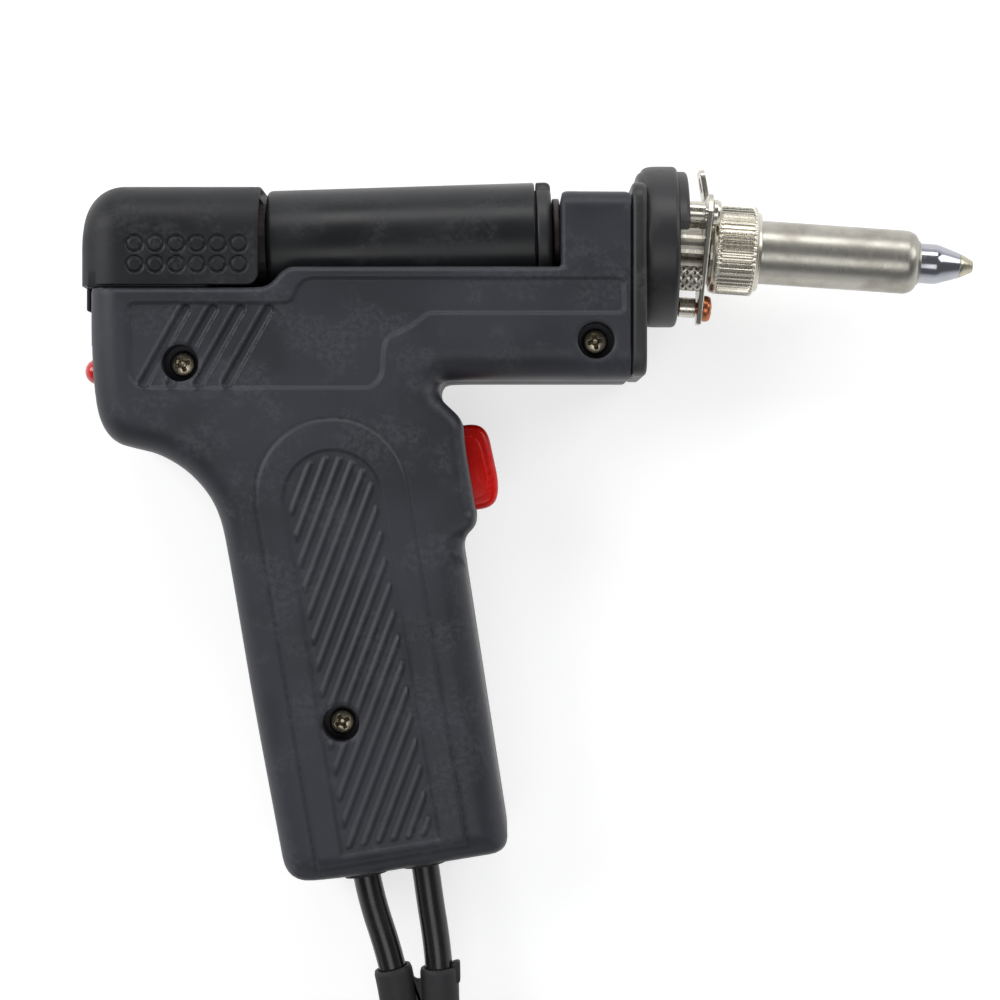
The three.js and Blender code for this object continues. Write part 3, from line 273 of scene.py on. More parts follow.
def tube(way, radius, sides=20):
    """A circle carried along a way, both ends closed over a small rounding."""
    circles, forward = circles_along(way, sides)
    order = np.r_[0, 0, np.arange(len(way)), len(way) - 1, len(way) - 1]
    size = np.full(len(order), radius)
    size[[0, -1]] *= 0.5
    size[[1, -2]] *= 0.92
    middle = way[order]
    middle[2] += forward[0] * radius * 0.12
    middle[-3] -= forward[-1] * radius * 0.12
    points = (middle[:, None] + circles[order] * size[:, None, None]).reshape(-1, 3)
    return points, capped(len(order), sides)


def rims(z0, z1, round_by, steps):
    """Inset and height of each ring of an upright wall whose two rims are quarter circles."""
    turn = np.linspace(0, math.pi / 2, steps + 1)
    inset, lift = round_by * (1 - np.sin(turn)), round_by * (1 - np.cos(turn))
    return np.r_[inset, inset[::-1]][:, None, None], np.r_[z0 + lift, (z1 - lift)[::-1]]


def stacked(rings, height):
    """Rings seen along z, each put at its own height, closed flat at both ends."""
    levels = np.repeat(height[:, None], rings.shape[1], axis=1)
    return np.dstack([rings, levels]).reshape(-1, 3), capped(*rings.shape[:2])


def block(x0, x1, y0, y1, z0, z1, round_by=0.6):
    """A box with rounded corners seen along z, and a rounded rim above and below."""
    outline = rounded([(x0, y0), (x1, y0), (x1, y1), (x0, y1)], round_by * 1.6, steps=5, closed=True)
    centre = np.array([(x0 + x1) / 2, (y0 + y1) / 2])
    inset, height = rims(z0, z1, round_by, 3)
    shrink = 1 - inset / np.array([(x1 - x0) / 2, (y1 - y0) / 2])
    return stacked(centre + (outline - centre) * shrink, height)


def slab(outline, z0, z1, round_by=0.6, steps=4):
    """A convex outline carried up from z0 to z1, with both rims drawn in square to the outline."""
    outline = np.asarray(outline, float)
    along = np.roll(outline, -1, axis=0) - np.roll(outline, 1, axis=0)
    normal = np.stack([along[:, 1], -along[:, 0]], axis=1) / np.hypot(*along.T)[:, None]
    normal *= np.sign(((outline - outline.mean(axis=0)) * normal).sum())
    inset, height = rims(z0, z1, round_by, steps)
    return stacked(outline - normal * inset, height)


def placed(part, turn, at):
    """A part's points multiplied by a turn matrix and moved."""
    points, faces = part
    return points @ np.asarray(turn, float).T + np.asarray(at, float), faces


def rework(mesh, change):
    """Runs a change on a mesh taken apart into linked corners, edges and faces."""
    work = bmesh.new()
    work.from_mesh(mesh)
    change(work)
    work.to_mesh(mesh)
    work.free()


def shade(mesh, sharp):
    """Smooth shading but for edges bent by more than an angle in degrees."""
    mesh.polygons.foreach_set("use_smooth", np.ones(len(mesh.polygons), bool))
    mesh.set_sharp_from_angle(angle=math.radians(sharp))


def drop_loose(work):
    bmesh.ops.delete(work, geom=[v for v in work.verts if not v.link_faces], context="VERTS")


def piece(name, parts, finish, body="gun", stands_for=(), sharp=32, scale=MM, keep_way=False):
    """Joins closed parts into one mesh object at the origin, shades it smooth but for its sharp edges, gives it its
    finish and lets it ride on a body of the frame."""
    points, faces, start = [], [], 0
    for part_points, part_faces in parts:
        turned_faces = part_faces if keep_way else outwards(part_points, part_faces)
        points.append(part_points)
        faces += [f + start for f in turned_faces]
        start += len(part_points)
    mesh = bpy.data.meshes.new(name)
    every = np.concatenate(points) * scale
    corners = np.concatenate([f.ravel() for f in faces])
    counts = np.concatenate([np.full(len(f), f.shape[1]) for f in faces])
    mesh.vertices.add(len(every))
    mesh.vertices.foreach_set("co", every.ravel())
    mesh.loops.add(len(corners))
    mesh.loops.foreach_set("vertex_index", corners.astype(np.int32))
    mesh.polygons.add(len(counts))
    mesh.polygons.foreach_set("loop_start", np.r_[0, np.cumsum(counts)[:-1]].astype(np.int32))
    mesh.update(calc_edges=True)
    if mesh.validate(verbose=False):
        mesh.update()
    if len(np.unique(corners)) < len(every):
        rework(mesh, drop_loose)
    shade(mesh, sharp)
    obj = bpy.data.objects.new(name, mesh)
    bpy.context.scene.collection.objects.link(obj)
    mesh.materials.append(finish)
    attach(obj, body)
    if stands_for:
        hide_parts(*stands_for)
    return obj


# ---------------------------------------------------------------- finishes

def new_group(name, inputs, outputs):
    """An empty shader node group; inputs are (name, kind, default) and outputs (name, kind)."""
    tree = bpy.data.node_groups.new(name, "ShaderNodeTree")
    for label, kind, value in inputs:
        tree.interface.new_socket(label, in_out="INPUT", socket_type=kind).default_value = value
    for label, kind in outputs:
        tree.interface.new_socket(label, in_out="OUTPUT", socket_type=kind)
    return tree, tree.nodes.new("NodeGroupInput"), tree.nodes.new("NodeGroupOutput")


def node(tree, kind, settings=None, **links):
    """Adds a node, sets its properties, and links or sets its inputs by name (spaces written as _)."""
    made = tree.nodes.new(kind)
    for key, value in (settings or {}).items():
        setattr(made, key, value)
    for key, value in links.items():
        numbered = key[0] == "i" and key[1:].isdigit()
        socket = made.inputs[int(key[1:]) if numbered else key.replace("_", " ")]
        if isinstance(value, bpy.types.NodeSocket):
            tree.links.new(value, socket)
        else:
            socket.default_value = value
    return made


def maths(tree, operation, first, second):
    return node(tree, "ShaderNodeMath", {"operation": operation}, i0=first, i1=second).outputs[0]


def between(tree, value, low, high, to_low=0.0, to_high=1.0):
    return node(tree, "ShaderNodeMapRange", {"interpolation_type": "SMOOTHSTEP"}, i0=value, i1=low, i2=high, i3=to_low,
                i4=to_high).outputs[0]


def mixed(tree, share, first, second):
    """A mix of two colours."""
    made = node(tree, "ShaderNodeMix", {"data_type": "RGBA"})
    for socket, value in ((made.inputs[0], share), (made.inputs[6], first), (made.inputs[7], second)):
        if isinstance(value, bpy.types.NodeSocket):
            tree.links.new(value, socket)
        else:
            socket.default_value = value
    return made.outputs[2]


def cloud(tree, place, scale, detail=3.0, roughness=0.5):
    return node(tree, "ShaderNodeTexNoise", Vector=place, Scale=scale, Detail=detail, Roughness=roughness).outputs[0]


def stretched(tree, place, x, y, z, turn=0.0):
    return node(tree, "ShaderNodeMapping", Vector=place, Scale=(x, y, z), Rotation=(0, 0, turn)).outputs[0]


def plastic_wear_group():
    """Moulded plastic: soft light and dark areas from slow noise, pale scuffs where two noises both run high, thin
    scratches from noise stretched along a slant, and a spark-eroded grain as height."""
    tree, given, result = new_group("Plastic wear", [
        ("Colour", "NodeSocketColor", (0.05, 0.05, 0.06, 1)),
        ("Scuff Colour", "NodeSocketColor", (0.16, 0.17, 0.19, 1)), ("Scuffs", "NodeSocketFloat", 0.5),
        ("Grain Size", "NodeSocketFloat", 2600.0), ("Roughness", "NodeSocketFloat", 0.5),
    ], [("Color", "NodeSocketColor"), ("Roughness", "NodeSocketFloat"), ("Height", "NodeSocketFloat")])
    place = node(tree, "ShaderNodeTexCoord").outputs["Object"]
    slow = cloud(tree, place, 38.0, 2.0)
    patch = between(tree, cloud(tree, place, 95.0, 5.0, 0.62), 0.46, 0.62)
    fine = between(tree, cloud(tree, place, 900.0, 4.0, 0.7), 0.4, 0.6)
    scratch = between(tree, cloud(tree, stretched(tree, place, 1900.0, 140.0, 400.0, 0.5), 1.0, 2.0), 0.66, 0.75)
    line = maths(tree, "MULTIPLY", scratch, between(tree, cloud(tree, place, 60.0, 2.0), 0.5, 0.68))
    scuff = maths(tree, "MAXIMUM", maths(tree, "MULTIPLY", patch, fine), maths(tree, "MULTIPLY", line, 0.8))
    share = maths(tree, "MULTIPLY", scuff, given.outputs["Scuffs"])
    shade = node(tree, "ShaderNodeHueSaturation", Value=between(tree, slow, 0.36, 0.64, 0.8, 1.2),
                 Color=given.outputs["Colour"]).outputs[0]
    tree.links.new(mixed(tree, share, shade, given.outputs["Scuff Colour"]), result.inputs["Color"])
    rough = maths(tree, "ADD", given.outputs["Roughness"], between(tree, slow, 0.3, 0.7, -0.05, 0.06))
    tree.links.new(maths(tree, "ADD", rough, maths(tree, "MULTIPLY", share, 0.2)), result.inputs["Roughness"])
    grain = cloud(tree, place, given.outputs["Grain Size"], 2.0)
    tree.links.new(maths(tree, "SUBTRACT", grain, maths(tree, "MULTIPLY", line, 0.5)), result.inputs["Height"])
    return tree


def metal_wear_group():
    """Plated or turned metal: noise drawn out round the turned direction, darker stains from slow noise."""
    tree, given, result = new_group("Metal wear", [
        ("Colour", "NodeSocketColor", (0.6, 0.6, 0.6, 1)),
        ("Stain Colour", "NodeSocketColor", (0.3, 0.28, 0.25, 1)), ("Stains", "NodeSocketFloat", 0.5),
        ("Line Size", "NodeSocketFloat", 5000.0), ("Roughness", "NodeSocketFloat", 0.3),
    ], [("Color", "NodeSocketColor"), ("Roughness", "NodeSocketFloat"), ("Height", "NodeSocketFloat")])
    place = node(tree, "ShaderNodeTexCoord").outputs["Object"]
    lines = cloud(tree, node(tree, "ShaderNodeVectorMath", {"operation": "MULTIPLY"}, i0=place,
                             i1=(1.0, 0.045, 0.045)).outputs[0], given.outputs["Line Size"], 3.0, 0.6)
    slow = cloud(tree, place, 130.0, 4.0, 0.6)
    stain = maths(tree, "MULTIPLY", between(tree, slow, 0.42, 0.72), given.outputs["Stains"])
    tree.links.new(mixed(tree, stain, given.outputs["Colour"], given.outputs["Stain Colour"]), result.inputs["Color"])
    rough = maths(tree, "ADD", given.outputs["Roughness"], between(tree, lines, 0.3, 0.7, -0.06, 0.08))
    tree.links.new(maths(tree, "ADD", rough, maths(tree, "MULTIPLY", stain, 0.12)), result.inputs["Roughness"])
    tree.links.new(lines, result.inputs["Height"])
    return tree


def finish(name, wear, values, bump=0.1, depth=0.00003, **constants):
    """A material: one wear group with its own values feeding colour, roughness and bump, the rest set plainly."""
    made = bpy.data.materials.new("gun_" + name)
    made.use_nodes = True
    tree = made.node_tree
    tree.nodes.clear()
    shader = node(tree, "ShaderNodeBsdfPrincipled", **constants)
    end = node(tree, "ShaderNodeOutputMaterial")
    tree.links.new(shader.outputs[0], end.inputs["Surface"])
    group = tree.nodes.new("ShaderNodeGroup")
    group.node_tree = bpy.data.node_groups[wear]
    for key, value in values.items():
        group.inputs[key].default_value = value
    tree.links.new(group.outputs["Color"], shader.inputs["Base Color"])
    tree.links.new(group.outputs["Roughness"], shader.inputs["Roughness"])
    relief = node(tree, "ShaderNodeBump", Strength=bump, Distance=depth, Height=group.outputs["Height"])
    tree.links.new(relief.outputs[0], shader.inputs["Normal"])
    return made


def plastic(name, colour, pale, scuffs, roughness, grain=2600.0, bump=0.12, **constants):
    amount = scuffs if sizes().show_scuffs else 0.0
    return finish(name, "Plastic wear", {"Colour": (*colour, 1), "Scuff Colour": (*pale, 1), "Scuffs": amount,
                                         "Grain Size": grain, "Roughness": roughness}, bump, **constants)


def metal(name, colour, stain, stains, roughness, lines=5000.0, bump=0.08, **constants):
    return finish(name, "Metal wear", {"Colour": (*colour, 1), "Stain Colour": (*stain, 1), "Stains": stains,
                                       "Line Size": lines, "Roughness": roughness}, bump, Metallic=1.0, **constants)


def lighter(colour, factor, toward=0.0):
    """A colour made lighter by a factor and drawn toward plain grey."""
    c = np.array(colour) * factor
    return tuple(np.clip(c * (1 - toward) + c.mean() * toward, 0, 1))


def make_finishes():
    c = colours()
    plastic_wear_group()
    metal_wear_group()
    plastic("housing_plastic", c.housing, lighter(c.housing, 2.6, 0.4), 0.38, 0.45, 2300.0, 0.16,
            Specular_IOR_Level=0.36)
    plastic("cover_plastic", c.cover, lighter(c.cover, 3.4, 0.5), 0.7, 0.46, 2300.0, 0.14,
            Specular_IOR_Level=0.33)
    plastic("canister_satin", c.canister, lighter(c.canister, 3.0, 0.4), 0.5, 0.34, 3800.0, 0.05,
            Specular_IOR_Level=0.33)
    plastic("collar_black", c.collar, lighter(c.collar, 2.4, 0.5), 0.7, 0.42, 2600.0, 0.1)
    plastic("black_plastic", c.collar, lighter(c.collar, 2.0, 0.5), 0.2, 0.45)
    plastic("trigger_red", c.trigger, lighter(c.trigger, 1.5, 0.1), 0.25, 0.24, 1500.0, 0.05,
            Coat_Weight=0.08, Coat_Roughness=0.12, Specular_IOR_Level=0.22)
    plastic("lamp_red", c.lamp, lighter(c.lamp, 1.6), 0.1, 0.12, 1200.0, 0.02,
            Subsurface_Weight=0.3, Subsurface_Scale=0.002, Coat_Weight=0.5)
    plastic("lead_sheath", c.lead, lighter(c.lead, 2.4, 0.6), 0.25, 0.27, 1800.0, 0.05)
    plastic("rubber", c.collar, lighter(c.collar, 2.0, 0.6), 0.25, 0.62)
    plastic("silicone", c.silicone, lighter(c.silicone, 1.3), 0.2, 0.5)
    plastic("ceramic", c.ceramic, lighter(c.ceramic, 0.8), 0.3, 0.7)
    plastic("board_green", c.board, lighter(c.board, 1.4), 0.2, 0.4)
    metal("nickel_plate", c.nickel, lighter(c.nickel, 0.5), 0.3, 0.22, 3000.0, 0.03)
    metal("brushed_pipe", c.pipe, (0.2, 0.18, 0.15), 0.45, 0.33, 9000.0, 0.06)
    metal("nut_satin", lighter(c.nickel, 1.1), (0.2, 0.18, 0.13), 0.4, 0.26, 5000.0, 0.02)
    metal("tip_plate", (0.5, 0.47, 0.36), (0.3, 0.27, 0.18), 0.4, 0.22, 5000.0, 0.03)
    metal("polished_nozzle", c.chrome, lighter(c.chrome, 0.5), 0.25, 0.14, 9000.0, 0.03)
    metal("copper_plate", c.copper, (0.2, 0.1, 0.06), 0.4, 0.26, 3000.0, 0.04)
    metal("screw_plate", c.brass, (0.16, 0.13, 0.09), 0.6, 0.3, 3000.0, 0.06)
    metal("steel", lighter(c.nickel, 0.8), (0.2, 0.2, 0.2), 0.4, 0.32)


def look(name):
    return bpy.data.materials["gun_" + name]


# Finishes of the working parts that stay as the frame has them, by node.
INNER_FINISHES = {
    "steel": ("plunger_spring", "suction_elbow", "guide_tube", "solder_catch_coil", "trigger_spring", "heater_socket",
              "suction_tube", "clamp_screw_1", "clamp_screw_2"),
    "black_plastic": ("plunger", "switch_body", "lead_clamp"),
    "trigger_red": ("switch_plunger",),
    "silicone": ("rear_seal",),
    "ceramic": ("filter_pad", "heating_element"),
    "board_green": ("lamp_board",),
    "rubber": ("inner_hose", "hose_grommet", "power_grommet"),
}


# ---------------------------------------------------------------- stage, camera and light

def make_stage():
    """A pale floor that shows white to the camera but keeps the gun's shadow, soft lamps, and the camera above."""
    c = colours()
    scene = bpy.context.scene
    scene.view_settings.view_transform = "Standard"
    size = 3.0
    mesh = bpy.data.meshes.new("floor")
    mesh.from_pydata([(-size, -size, 0), (size, -size, 0), (size, size, 0), (-size, size, 0)], [], [(0, 1, 2, 3)])
    floor = bpy.data.objects.new("floor", mesh)
    scene.collection.objects.link(floor)
    paint = bpy.data.materials.new("floor_paint")
    paint.use_nodes = True
    tree = paint.node_tree
    tree.nodes.clear()
    seen = node(tree, "ShaderNodeLightPath")
    straight = maths(tree, "MAXIMUM", seen.outputs["Is Camera Ray"],
                     maths(tree, "MAXIMUM", seen.outputs["Is Glossy Ray"], seen.outputs["Is Transmission Ray"]))
    matt = node(tree, "ShaderNodeBsdfDiffuse", Color=(*c.floor, 1))
    glow = node(tree, "ShaderNodeEmission", Color=(1, 1, 1, 1), Strength=0.68)
    veil = node(tree, "ShaderNodeBsdfDiffuse", Color=(0.5, 0.5, 0.5, 1))
    both = node(tree, "ShaderNodeAddShader", i0=glow.outputs[0], i1=veil.outputs[0])
    mix = node(tree, "ShaderNodeMixShader", i0=straight, i1=matt.outputs[0], i2=both.outputs[0])
    tree.links.new(mix.outputs[0], node(tree, "ShaderNodeOutputMaterial").inputs["Surface"])
    mesh.materials.append(paint)

    world = bpy.data.worlds.new("studio")
    scene.world = world
    world.use_nodes = True
    tree = world.node_tree
    tree.nodes.clear()
    direction = node(tree, "ShaderNodeTexCoord").outputs["Generated"]
    upward = node(tree, "ShaderNodeSeparateXYZ", Vector=direction).outputs[2]
    strength = between(tree, upward, 0.1, 0.5, 0.9, 0.16)
    room = node(tree, "ShaderNodeBackground", Color=(0.95, 0.97, 1.0, 1), Strength=strength)
    tree.links.new(room.outputs[0], node(tree, "ShaderNodeOutputWorld").inputs["Surface"])

    for name, place, aim, wide, high, power in (
        ("lamp_left", (-0.75, 0.35, 0.62), (-0.03, 0.0, 0.02), 0.5, 0.7, 5.2),
        ("lamp_right", (0.7, 0.45, 0.55), (0.0, 0.02, 0.02), 0.45, 0.6, 2.4),
        ("lamp_top", (0.0, 0.75, 0.5), (0.0, 0.02, 0.02), 0.8, 0.3, 3.0),
        ("lamp_over", (0.0, -0.3, 0.95), (0.0, 0.0, 0.0), 0.6, 0.4, 1.6),
    ):
        light = bpy.data.lights.new(name, "AREA")
        light.shape, light.size, light.size_y, light.energy = "RECTANGLE", wide, high, power
        lamp = bpy.data.objects.new(name, light)
        scene.collection.objects.link(lamp)
        lamp.location = place
        lamp.rotation_euler = (Vector(aim) - Vector(place)).to_track_quat("-Z", "Y").to_euler()

    lens = bpy.data.cameras.new("camera")
    lens.lens, lens.sensor_width, lens.clip_start = 90.0, 36.0, 0.01
    camera = bpy.data.objects.new("camera", lens)
    scene.collection.objects.link(camera)
    camera.location = (-0.0056, 0.00506, 0.517)
    scene.camera = camera


# ---------------------------------------------------------------- power lead and vacuum hose

def coil_way(coil_x, first_angle, way):
    """The winding in a coil: an angle that grows with the turns, a radius and a height that change smoothly from one
    turn's place to the next within an eighth of a turn."""
    turn = np.linspace(0, COIL_TURNS, int(COIL_TURNS * 48) + 1)
    radius, height = np.full(len(turn), COIL_RADII[0]), np.full(len(turn), COIL_HEIGHTS[0])
    for k, middle in enumerate(TURN_CHANGES):
        step = rise(middle - 0.06, middle + 0.06, turn)
        radius += step * (COIL_RADII[k + 1] - COIL_RADII[k])
        height += step * (COIL_HEIGHTS[k + 1] - COIL_HEIGHTS[k])
    angle = first_angle + way * 2 * math.pi * turn
    return np.stack([coil_x + radius * np.cos(angle), COIL_Y + radius * np.sin(angle), height], axis=1) * MM


def lead_way(route, coil_x, tail, way):
    """A lead's whole centreline: its route, the coil and the straight tail to its end, on one smooth curve."""
    coil = coil_way(coil_x, math.pi if way > 0 else 0.0, way)
    end = np.stack([coil_x + way * tail[:, 0], np.full(len(tail), TAIL_Y), tail[:, 1]], axis=1) * MM
    return smooth_way(np.vstack([route, coil, end]), 0.0024)


def make_leads():
    """Each lead is one round sheath of 5.5 mm carried along its route and its coil, 1.2 m long."""
    hose_way = lead_way(HOSE_ROUTE, HOSE_COIL_X, HOSE_TAIL, -1)
    hose = piece("vacuum_hose_cord", [tube(hose_way, LEAD_RADIUS * MM, 20)], look("lead_sheath"),
                 stands_for=("vacuum_hose", "vacuum_hose_coil", "vacuum_hose_tail"), scale=1.0)
    power_way = lead_way(POWER_ROUTE, POWER_COIL_X, POWER_TAIL, 1)
    power = piece("power_lead_cord", [tube(power_way, LEAD_RADIUS * MM, 20)], look("lead_sheath"),
                  stands_for=("power_lead", "power_lead_coil", "power_lead_tail"), scale=1.0)
    make_lead_ends()


def coil_tie(name, x, node_name):
    """A strip round the coil: a flat band carried round a rounded upright rectangle, its outer end on itself."""
    reach, low, top = 8.95, 0.36, 12.7
    corners = [(x - reach, low), (x + reach, low), (x + reach, top), (x - reach, top)]
    line = rounded(corners, 2.4, steps=6, closed=True)
    middle = line.mean(axis=0)
    along = np.gradient(np.vstack([line[-1:], line, line[:1]]), axis=0)[1:-1]
    normal = unit(np.stack([along[:, 1], -along[:, 0]], axis=1))
    normal *= np.sign(((line - middle) * normal).sum(axis=1))[:, None]
    across = np.array([-4.0, -3.85, 3.85, 4.0])
    inner, outer = line[:, None] - normal[:, None] * 0.3, line[:, None] + normal[:, None] * 0.3
    ring = np.concatenate([
        np.repeat(outer, 4, axis=1) - normal[:, None] * np.array([0.12, 0, 0, 0.12])[None, :, None],
        np.repeat(inner, 4, axis=1) + normal[:, None] * np.array([0.12, 0, 0, 0.12])[None, :, None],
    ], axis=1)
    y = COIL_Y + np.r_[across, across[::-1]]
    points = np.stack([ring[..., 0], np.repeat(y[None], len(line), axis=0), ring[..., 1]], axis=2)
    rows, columns = points.shape[:2]
    faces = grid_faces(columns, rows, wrap=True)
    points = points.transpose(1, 0, 2).reshape(-1, 3)
    closing = grid_faces(2, rows, wrap=True)
    closing = np.where(closing < rows, closing + (columns - 1) * rows, closing - rows)
    end = block(x - 2.0, x + 7.2, COIL_Y - 3.9, COIL_Y + 3.9, 13.02, 13.4, 0.15)
    piece(name, [(points, [faces, closing]), end], look("rubber"), stands_for=(node_name,))


def make_lead_ends():
    """Both ties, the hose's push fitting and the lead's round plug, each a turned profile."""
    coil_tie("hose_coil_tie", HOSE_COIL_X - 33.0, "vacuum_hose_tie")
    coil_tie("power_coil_tie", POWER_COIL_X + 33.0, "power_lead_tie")
    nose = [(0, 0), (0, 3.6), (0.9, 4.5), (1.6, 4.5), (1.9, 4.2), (5.1, 4.2), (5.4, 4.5), (7.0, 4.5), (7.6, 3.9),
            (7.6, 2.9), (9.6, 2.9), (9.8, 3.3), (11.6, 2.75), (11.6, 2.95), (13.4, 2.5), (13.4, 2.7), (15.2, 2.2),
            (15.7, 1.9), (15.7, 1.4), (9.0, 1.4), (9.0, 0)]
    fitting = lathe(rounded(nose, 0.25, 3), 64)
    fitting = placed(fitting, np.diag([-1.0, 1.0, -1.0]), (HOSE_COIL_X - 26.3, TAIL_Y, 4.5))
    piece("hose_end_fitting", [fitting], look("steel"), stands_for=("hose_fitting",))

    x0 = 28.3
    ribs = np.linspace(0, 1, 241)
    radius = 3.6 + 2.0 * ribs - 0.75 * rise(0.35, 0.75, 0.5 - 0.5 * np.cos(2 * math.pi * 5 * ribs)) * (ribs < 0.8)
    boot = np.vstack([[(x0, 0)], np.stack([x0 + 15.6 * ribs, radius], axis=1), [(x0 + 15.7, 5.5), (x0 + 15.7, 0)]])
    at = (POWER_COIL_X, TAIL_Y, 8.0)
    piece("plug_boot_sleeve", [lathe(boot, 48, at)], look("rubber"), stands_for=("plug_boot",))
    s = x0 + 16.0
    shell = [(s, 0), (s, 6.0), (s + 8, 6.4), (s + 10, 6.4), (s + 10, 5.0), (s + 16, 5.0), (s + 16, 0)]
    piece("plug_body_shell", [lathe(rounded(shell, 0.4, 4), 72, at)], look("nut_satin"), stands_for=("plug_shell",))
    ring = [(s + 10.3, 5.4), (s + 10.3, 7.5), (s + 10.8, 8.0), (s + 18.4, 8.0), (s + 19, 7.4), (s + 19, 5.4)]
    ring = rounded([*ring, ring[0]], 0.2, 3)[:-1]
    ring = np.vstack([ring, np.stack([np.linspace(s + 18.8, s + 10.5, 4), np.full(4, 5.4)], axis=1), ring[:1]])

    def ridges(x, angle):
        return -0.35 * rise(0.2, 0.8, 0.5 + 0.5 * np.cos(24 * angle)) * (x > s + 11.2) * (x < s + 18.2)

    fine = np.vstack([ring[:4], [(s + 11.1, 8.0), (s + 11.3, 8.0), (s + 18.1, 8.0), (s + 18.3, 8.0)], ring[4:]])
    piece("plug_coupling_ring", [closed_ring(fine, 96, at, ridges)], look("steel"), body="coupling_ring",
          stands_for=("plug_ring",))
    insert = [(s + 16.3, 0), (s + 16.3, 5.0), (s + 18.6, 5.0), (s + 18.6, 0)]
    contacts = [lathe(rounded([(s + 18.5, 0), (s + 18.5, 0.5), (s + 18.9, 0.5), (s + 18.9, 0)], 0.12, 2), 16,
                      (at[0], at[1] + 3.1 * math.cos(a), at[2] + 3.1 * math.sin(a)))
                for a in np.arange(7) * 2 * math.pi / 7]
    piece("plug_contact_insert", [lathe(rounded(insert, 0.2, 3), 48, at), *contacts], look("black_plastic"),
          stands_for=("plug_insert",))


# ---------------------------------------------------------------- housing

# Outline of the housing seen from the side, each corner with how far its rounding reaches and the radius along it.
SOFT, RIM, SEAM = 6.0, 1.3, 0.5
OUTLINE = [
    (-85.5, 46.2, 0.7, SOFT), (-85.5, 35.3, 9, SOFT), (-84.8, 25.0, 9, SOFT), (-83.6, 19.7, 4, SOFT),
    (-80.8, 16.2, 4, SOFT), (-76.7, 15.1, 4, SOFT), (-71.8, 14.0, 6, SOFT), (-65.6, 10.1, 8, SOFT),
    (-60.5, 3.4, 8, SOFT), (-58.4, -7.2, 8, SOFT), (-53.9, -34.1, 9, SOFT), (-47.2, -69.8, 5, SOFT),
    (-35.3, -68.8, 9, SOFT), (-3.6, -63.6, 4, SOFT), (-7.6, -37.9, 9, SOFT), (-12.2, -8.2, 2, 3.5),
    (-13.1, -2.7, 2.5, 2.2), (-10.3, -0.1, 2.2, 2.2), (-10.3, 3.0, 2.5, 3.0), (-12.4, 15.3, 2.5, 3.0),
    (-12.8, 20.6, 2, 3.0), (-17.6, 25.1, 2.2, 4.0), (-17.3, 28.4, 2.2, SOFT), (-13.3, 28.6, 3, SOFT),
    (19.8, 28.6, 0.6, SEAM), (19.8, 65.1, 1.2, 3.6), (6.3, 65.2, 1.2, 0.8), (6.3, 50.3, 0.8, RIM),
    (-47.2, 50.3, 2, RIM), (-50.5, 46.4, 2, RIM), (-54.1, 46.2, 1.5, RIM),
]
SCREW_PLACES = ((-67.6, 31.6), (-36.4, -38.2), (13.0, 36.0))
RECESS_RADIUS = 3.6
RECESS_FLOOR = 27.0
TROUGH_RADIUS, TROUGH_FLOOR = 12.1, 44.0  # the canister's seat
CHANNEL_RADIUS, CHANNEL_Y = 9.6, 55.27  # the plunger's way under the rear cover
PANEL = [
    (-77.6, 43.3), (-46.1, 43.3), (-44.8, 46.6), (-43.0, 48.1), (18.4, 48.1), (18.6, 41.2), (-19.5, 41.2),
    (-22.6, 38.6), (-27.6, 36.3), (-28.2, 33.0), (-28.2, 29.2), (-30.3, 26.7), (-75.5, 26.7), (-77.6, 28.8),
]
BAR_TOPS = (-66.4, -61.1, -55.8, -50.3)
BAR_SHIFT = -8.1
BAR_Y = (27.6, 42.0)


def distance_inside(x, y, line):
    """Distance to a closed polyline, positive inside: the nearest of its straight stretches, and a point is inside
    when a ray from it crosses the line an odd number of times."""
    nearest = np.full(x.shape, np.inf)
    inside = np.zeros(x.shape, bool)
    for (ax, ay), (bx, by) in zip(line, np.roll(line, -1, axis=0)):
        dx, dy = bx - ax, by - ay
        t = np.clip(((x - ax) * dx + (y - ay) * dy) / (dx * dx + dy * dy), 0, 1)
        nearest = np.minimum(nearest, (x - ax - t * dx) ** 2 + (y - ay - t * dy) ** 2)
        if ay != by:
            inside ^= ((ay > y) != (by > y)) & (x < dx * (y - ay) / (by - ay) + ax)
    return np.where(inside, 1, -1) * np.sqrt(nearest)


def edge_drop(x, y, line, radii):
    """How far the side face falls near the outline: each stretch rolls off on a quarter circle of its own radius."""
    drop = np.zeros(x.shape)
    for (ax, ay), (bx, by), r in zip(line, np.roll(line, -1, axis=0), radii):
        dx, dy = bx - ax, by - ay
        t = np.clip(((x - ax) * dx + (y - ay) * dy) / (dx * dx + dy * dy), 0, 1)
        away = np.hypot(x - ax - t * dx, y - ay - t * dy)
        drop = np.maximum(drop, r - np.sqrt(np.maximum(r * r - np.maximum(r - away, 0) ** 2, 0)))
    return drop


def capsule(x, y, ax, ay, bx, by):
    """Distance from a straight line piece."""
    t = np.clip(((x - ax) * (bx - ax) + (y - ay) * (by - ay)) / ((bx - ax) ** 2 + (by - ay) ** 2), 0, 1)
    return np.hypot(x - ax - t * (bx - ax), y - ay - t * (by - ay))


def grip_frame(x, y):
    """Distances forward of the grip's middle line and down along it."""
    c, s = math.cos(GRIP_TILT), math.sin(GRIP_TILT)
    return (x - GRIP_X) * c + y * s, (x - GRIP_X) * s - y * c


def arch_inside(u, v, middle, top_v, half, foot):
    """Distance inside a tall shape with a half-round top and straight sides and foot."""
    sides = half - np.abs(u - middle)
    head = half - np.hypot(u - middle, np.minimum(v - top_v, 0))
    return np.minimum(np.where(v < top_v, head, sides), foot - v)


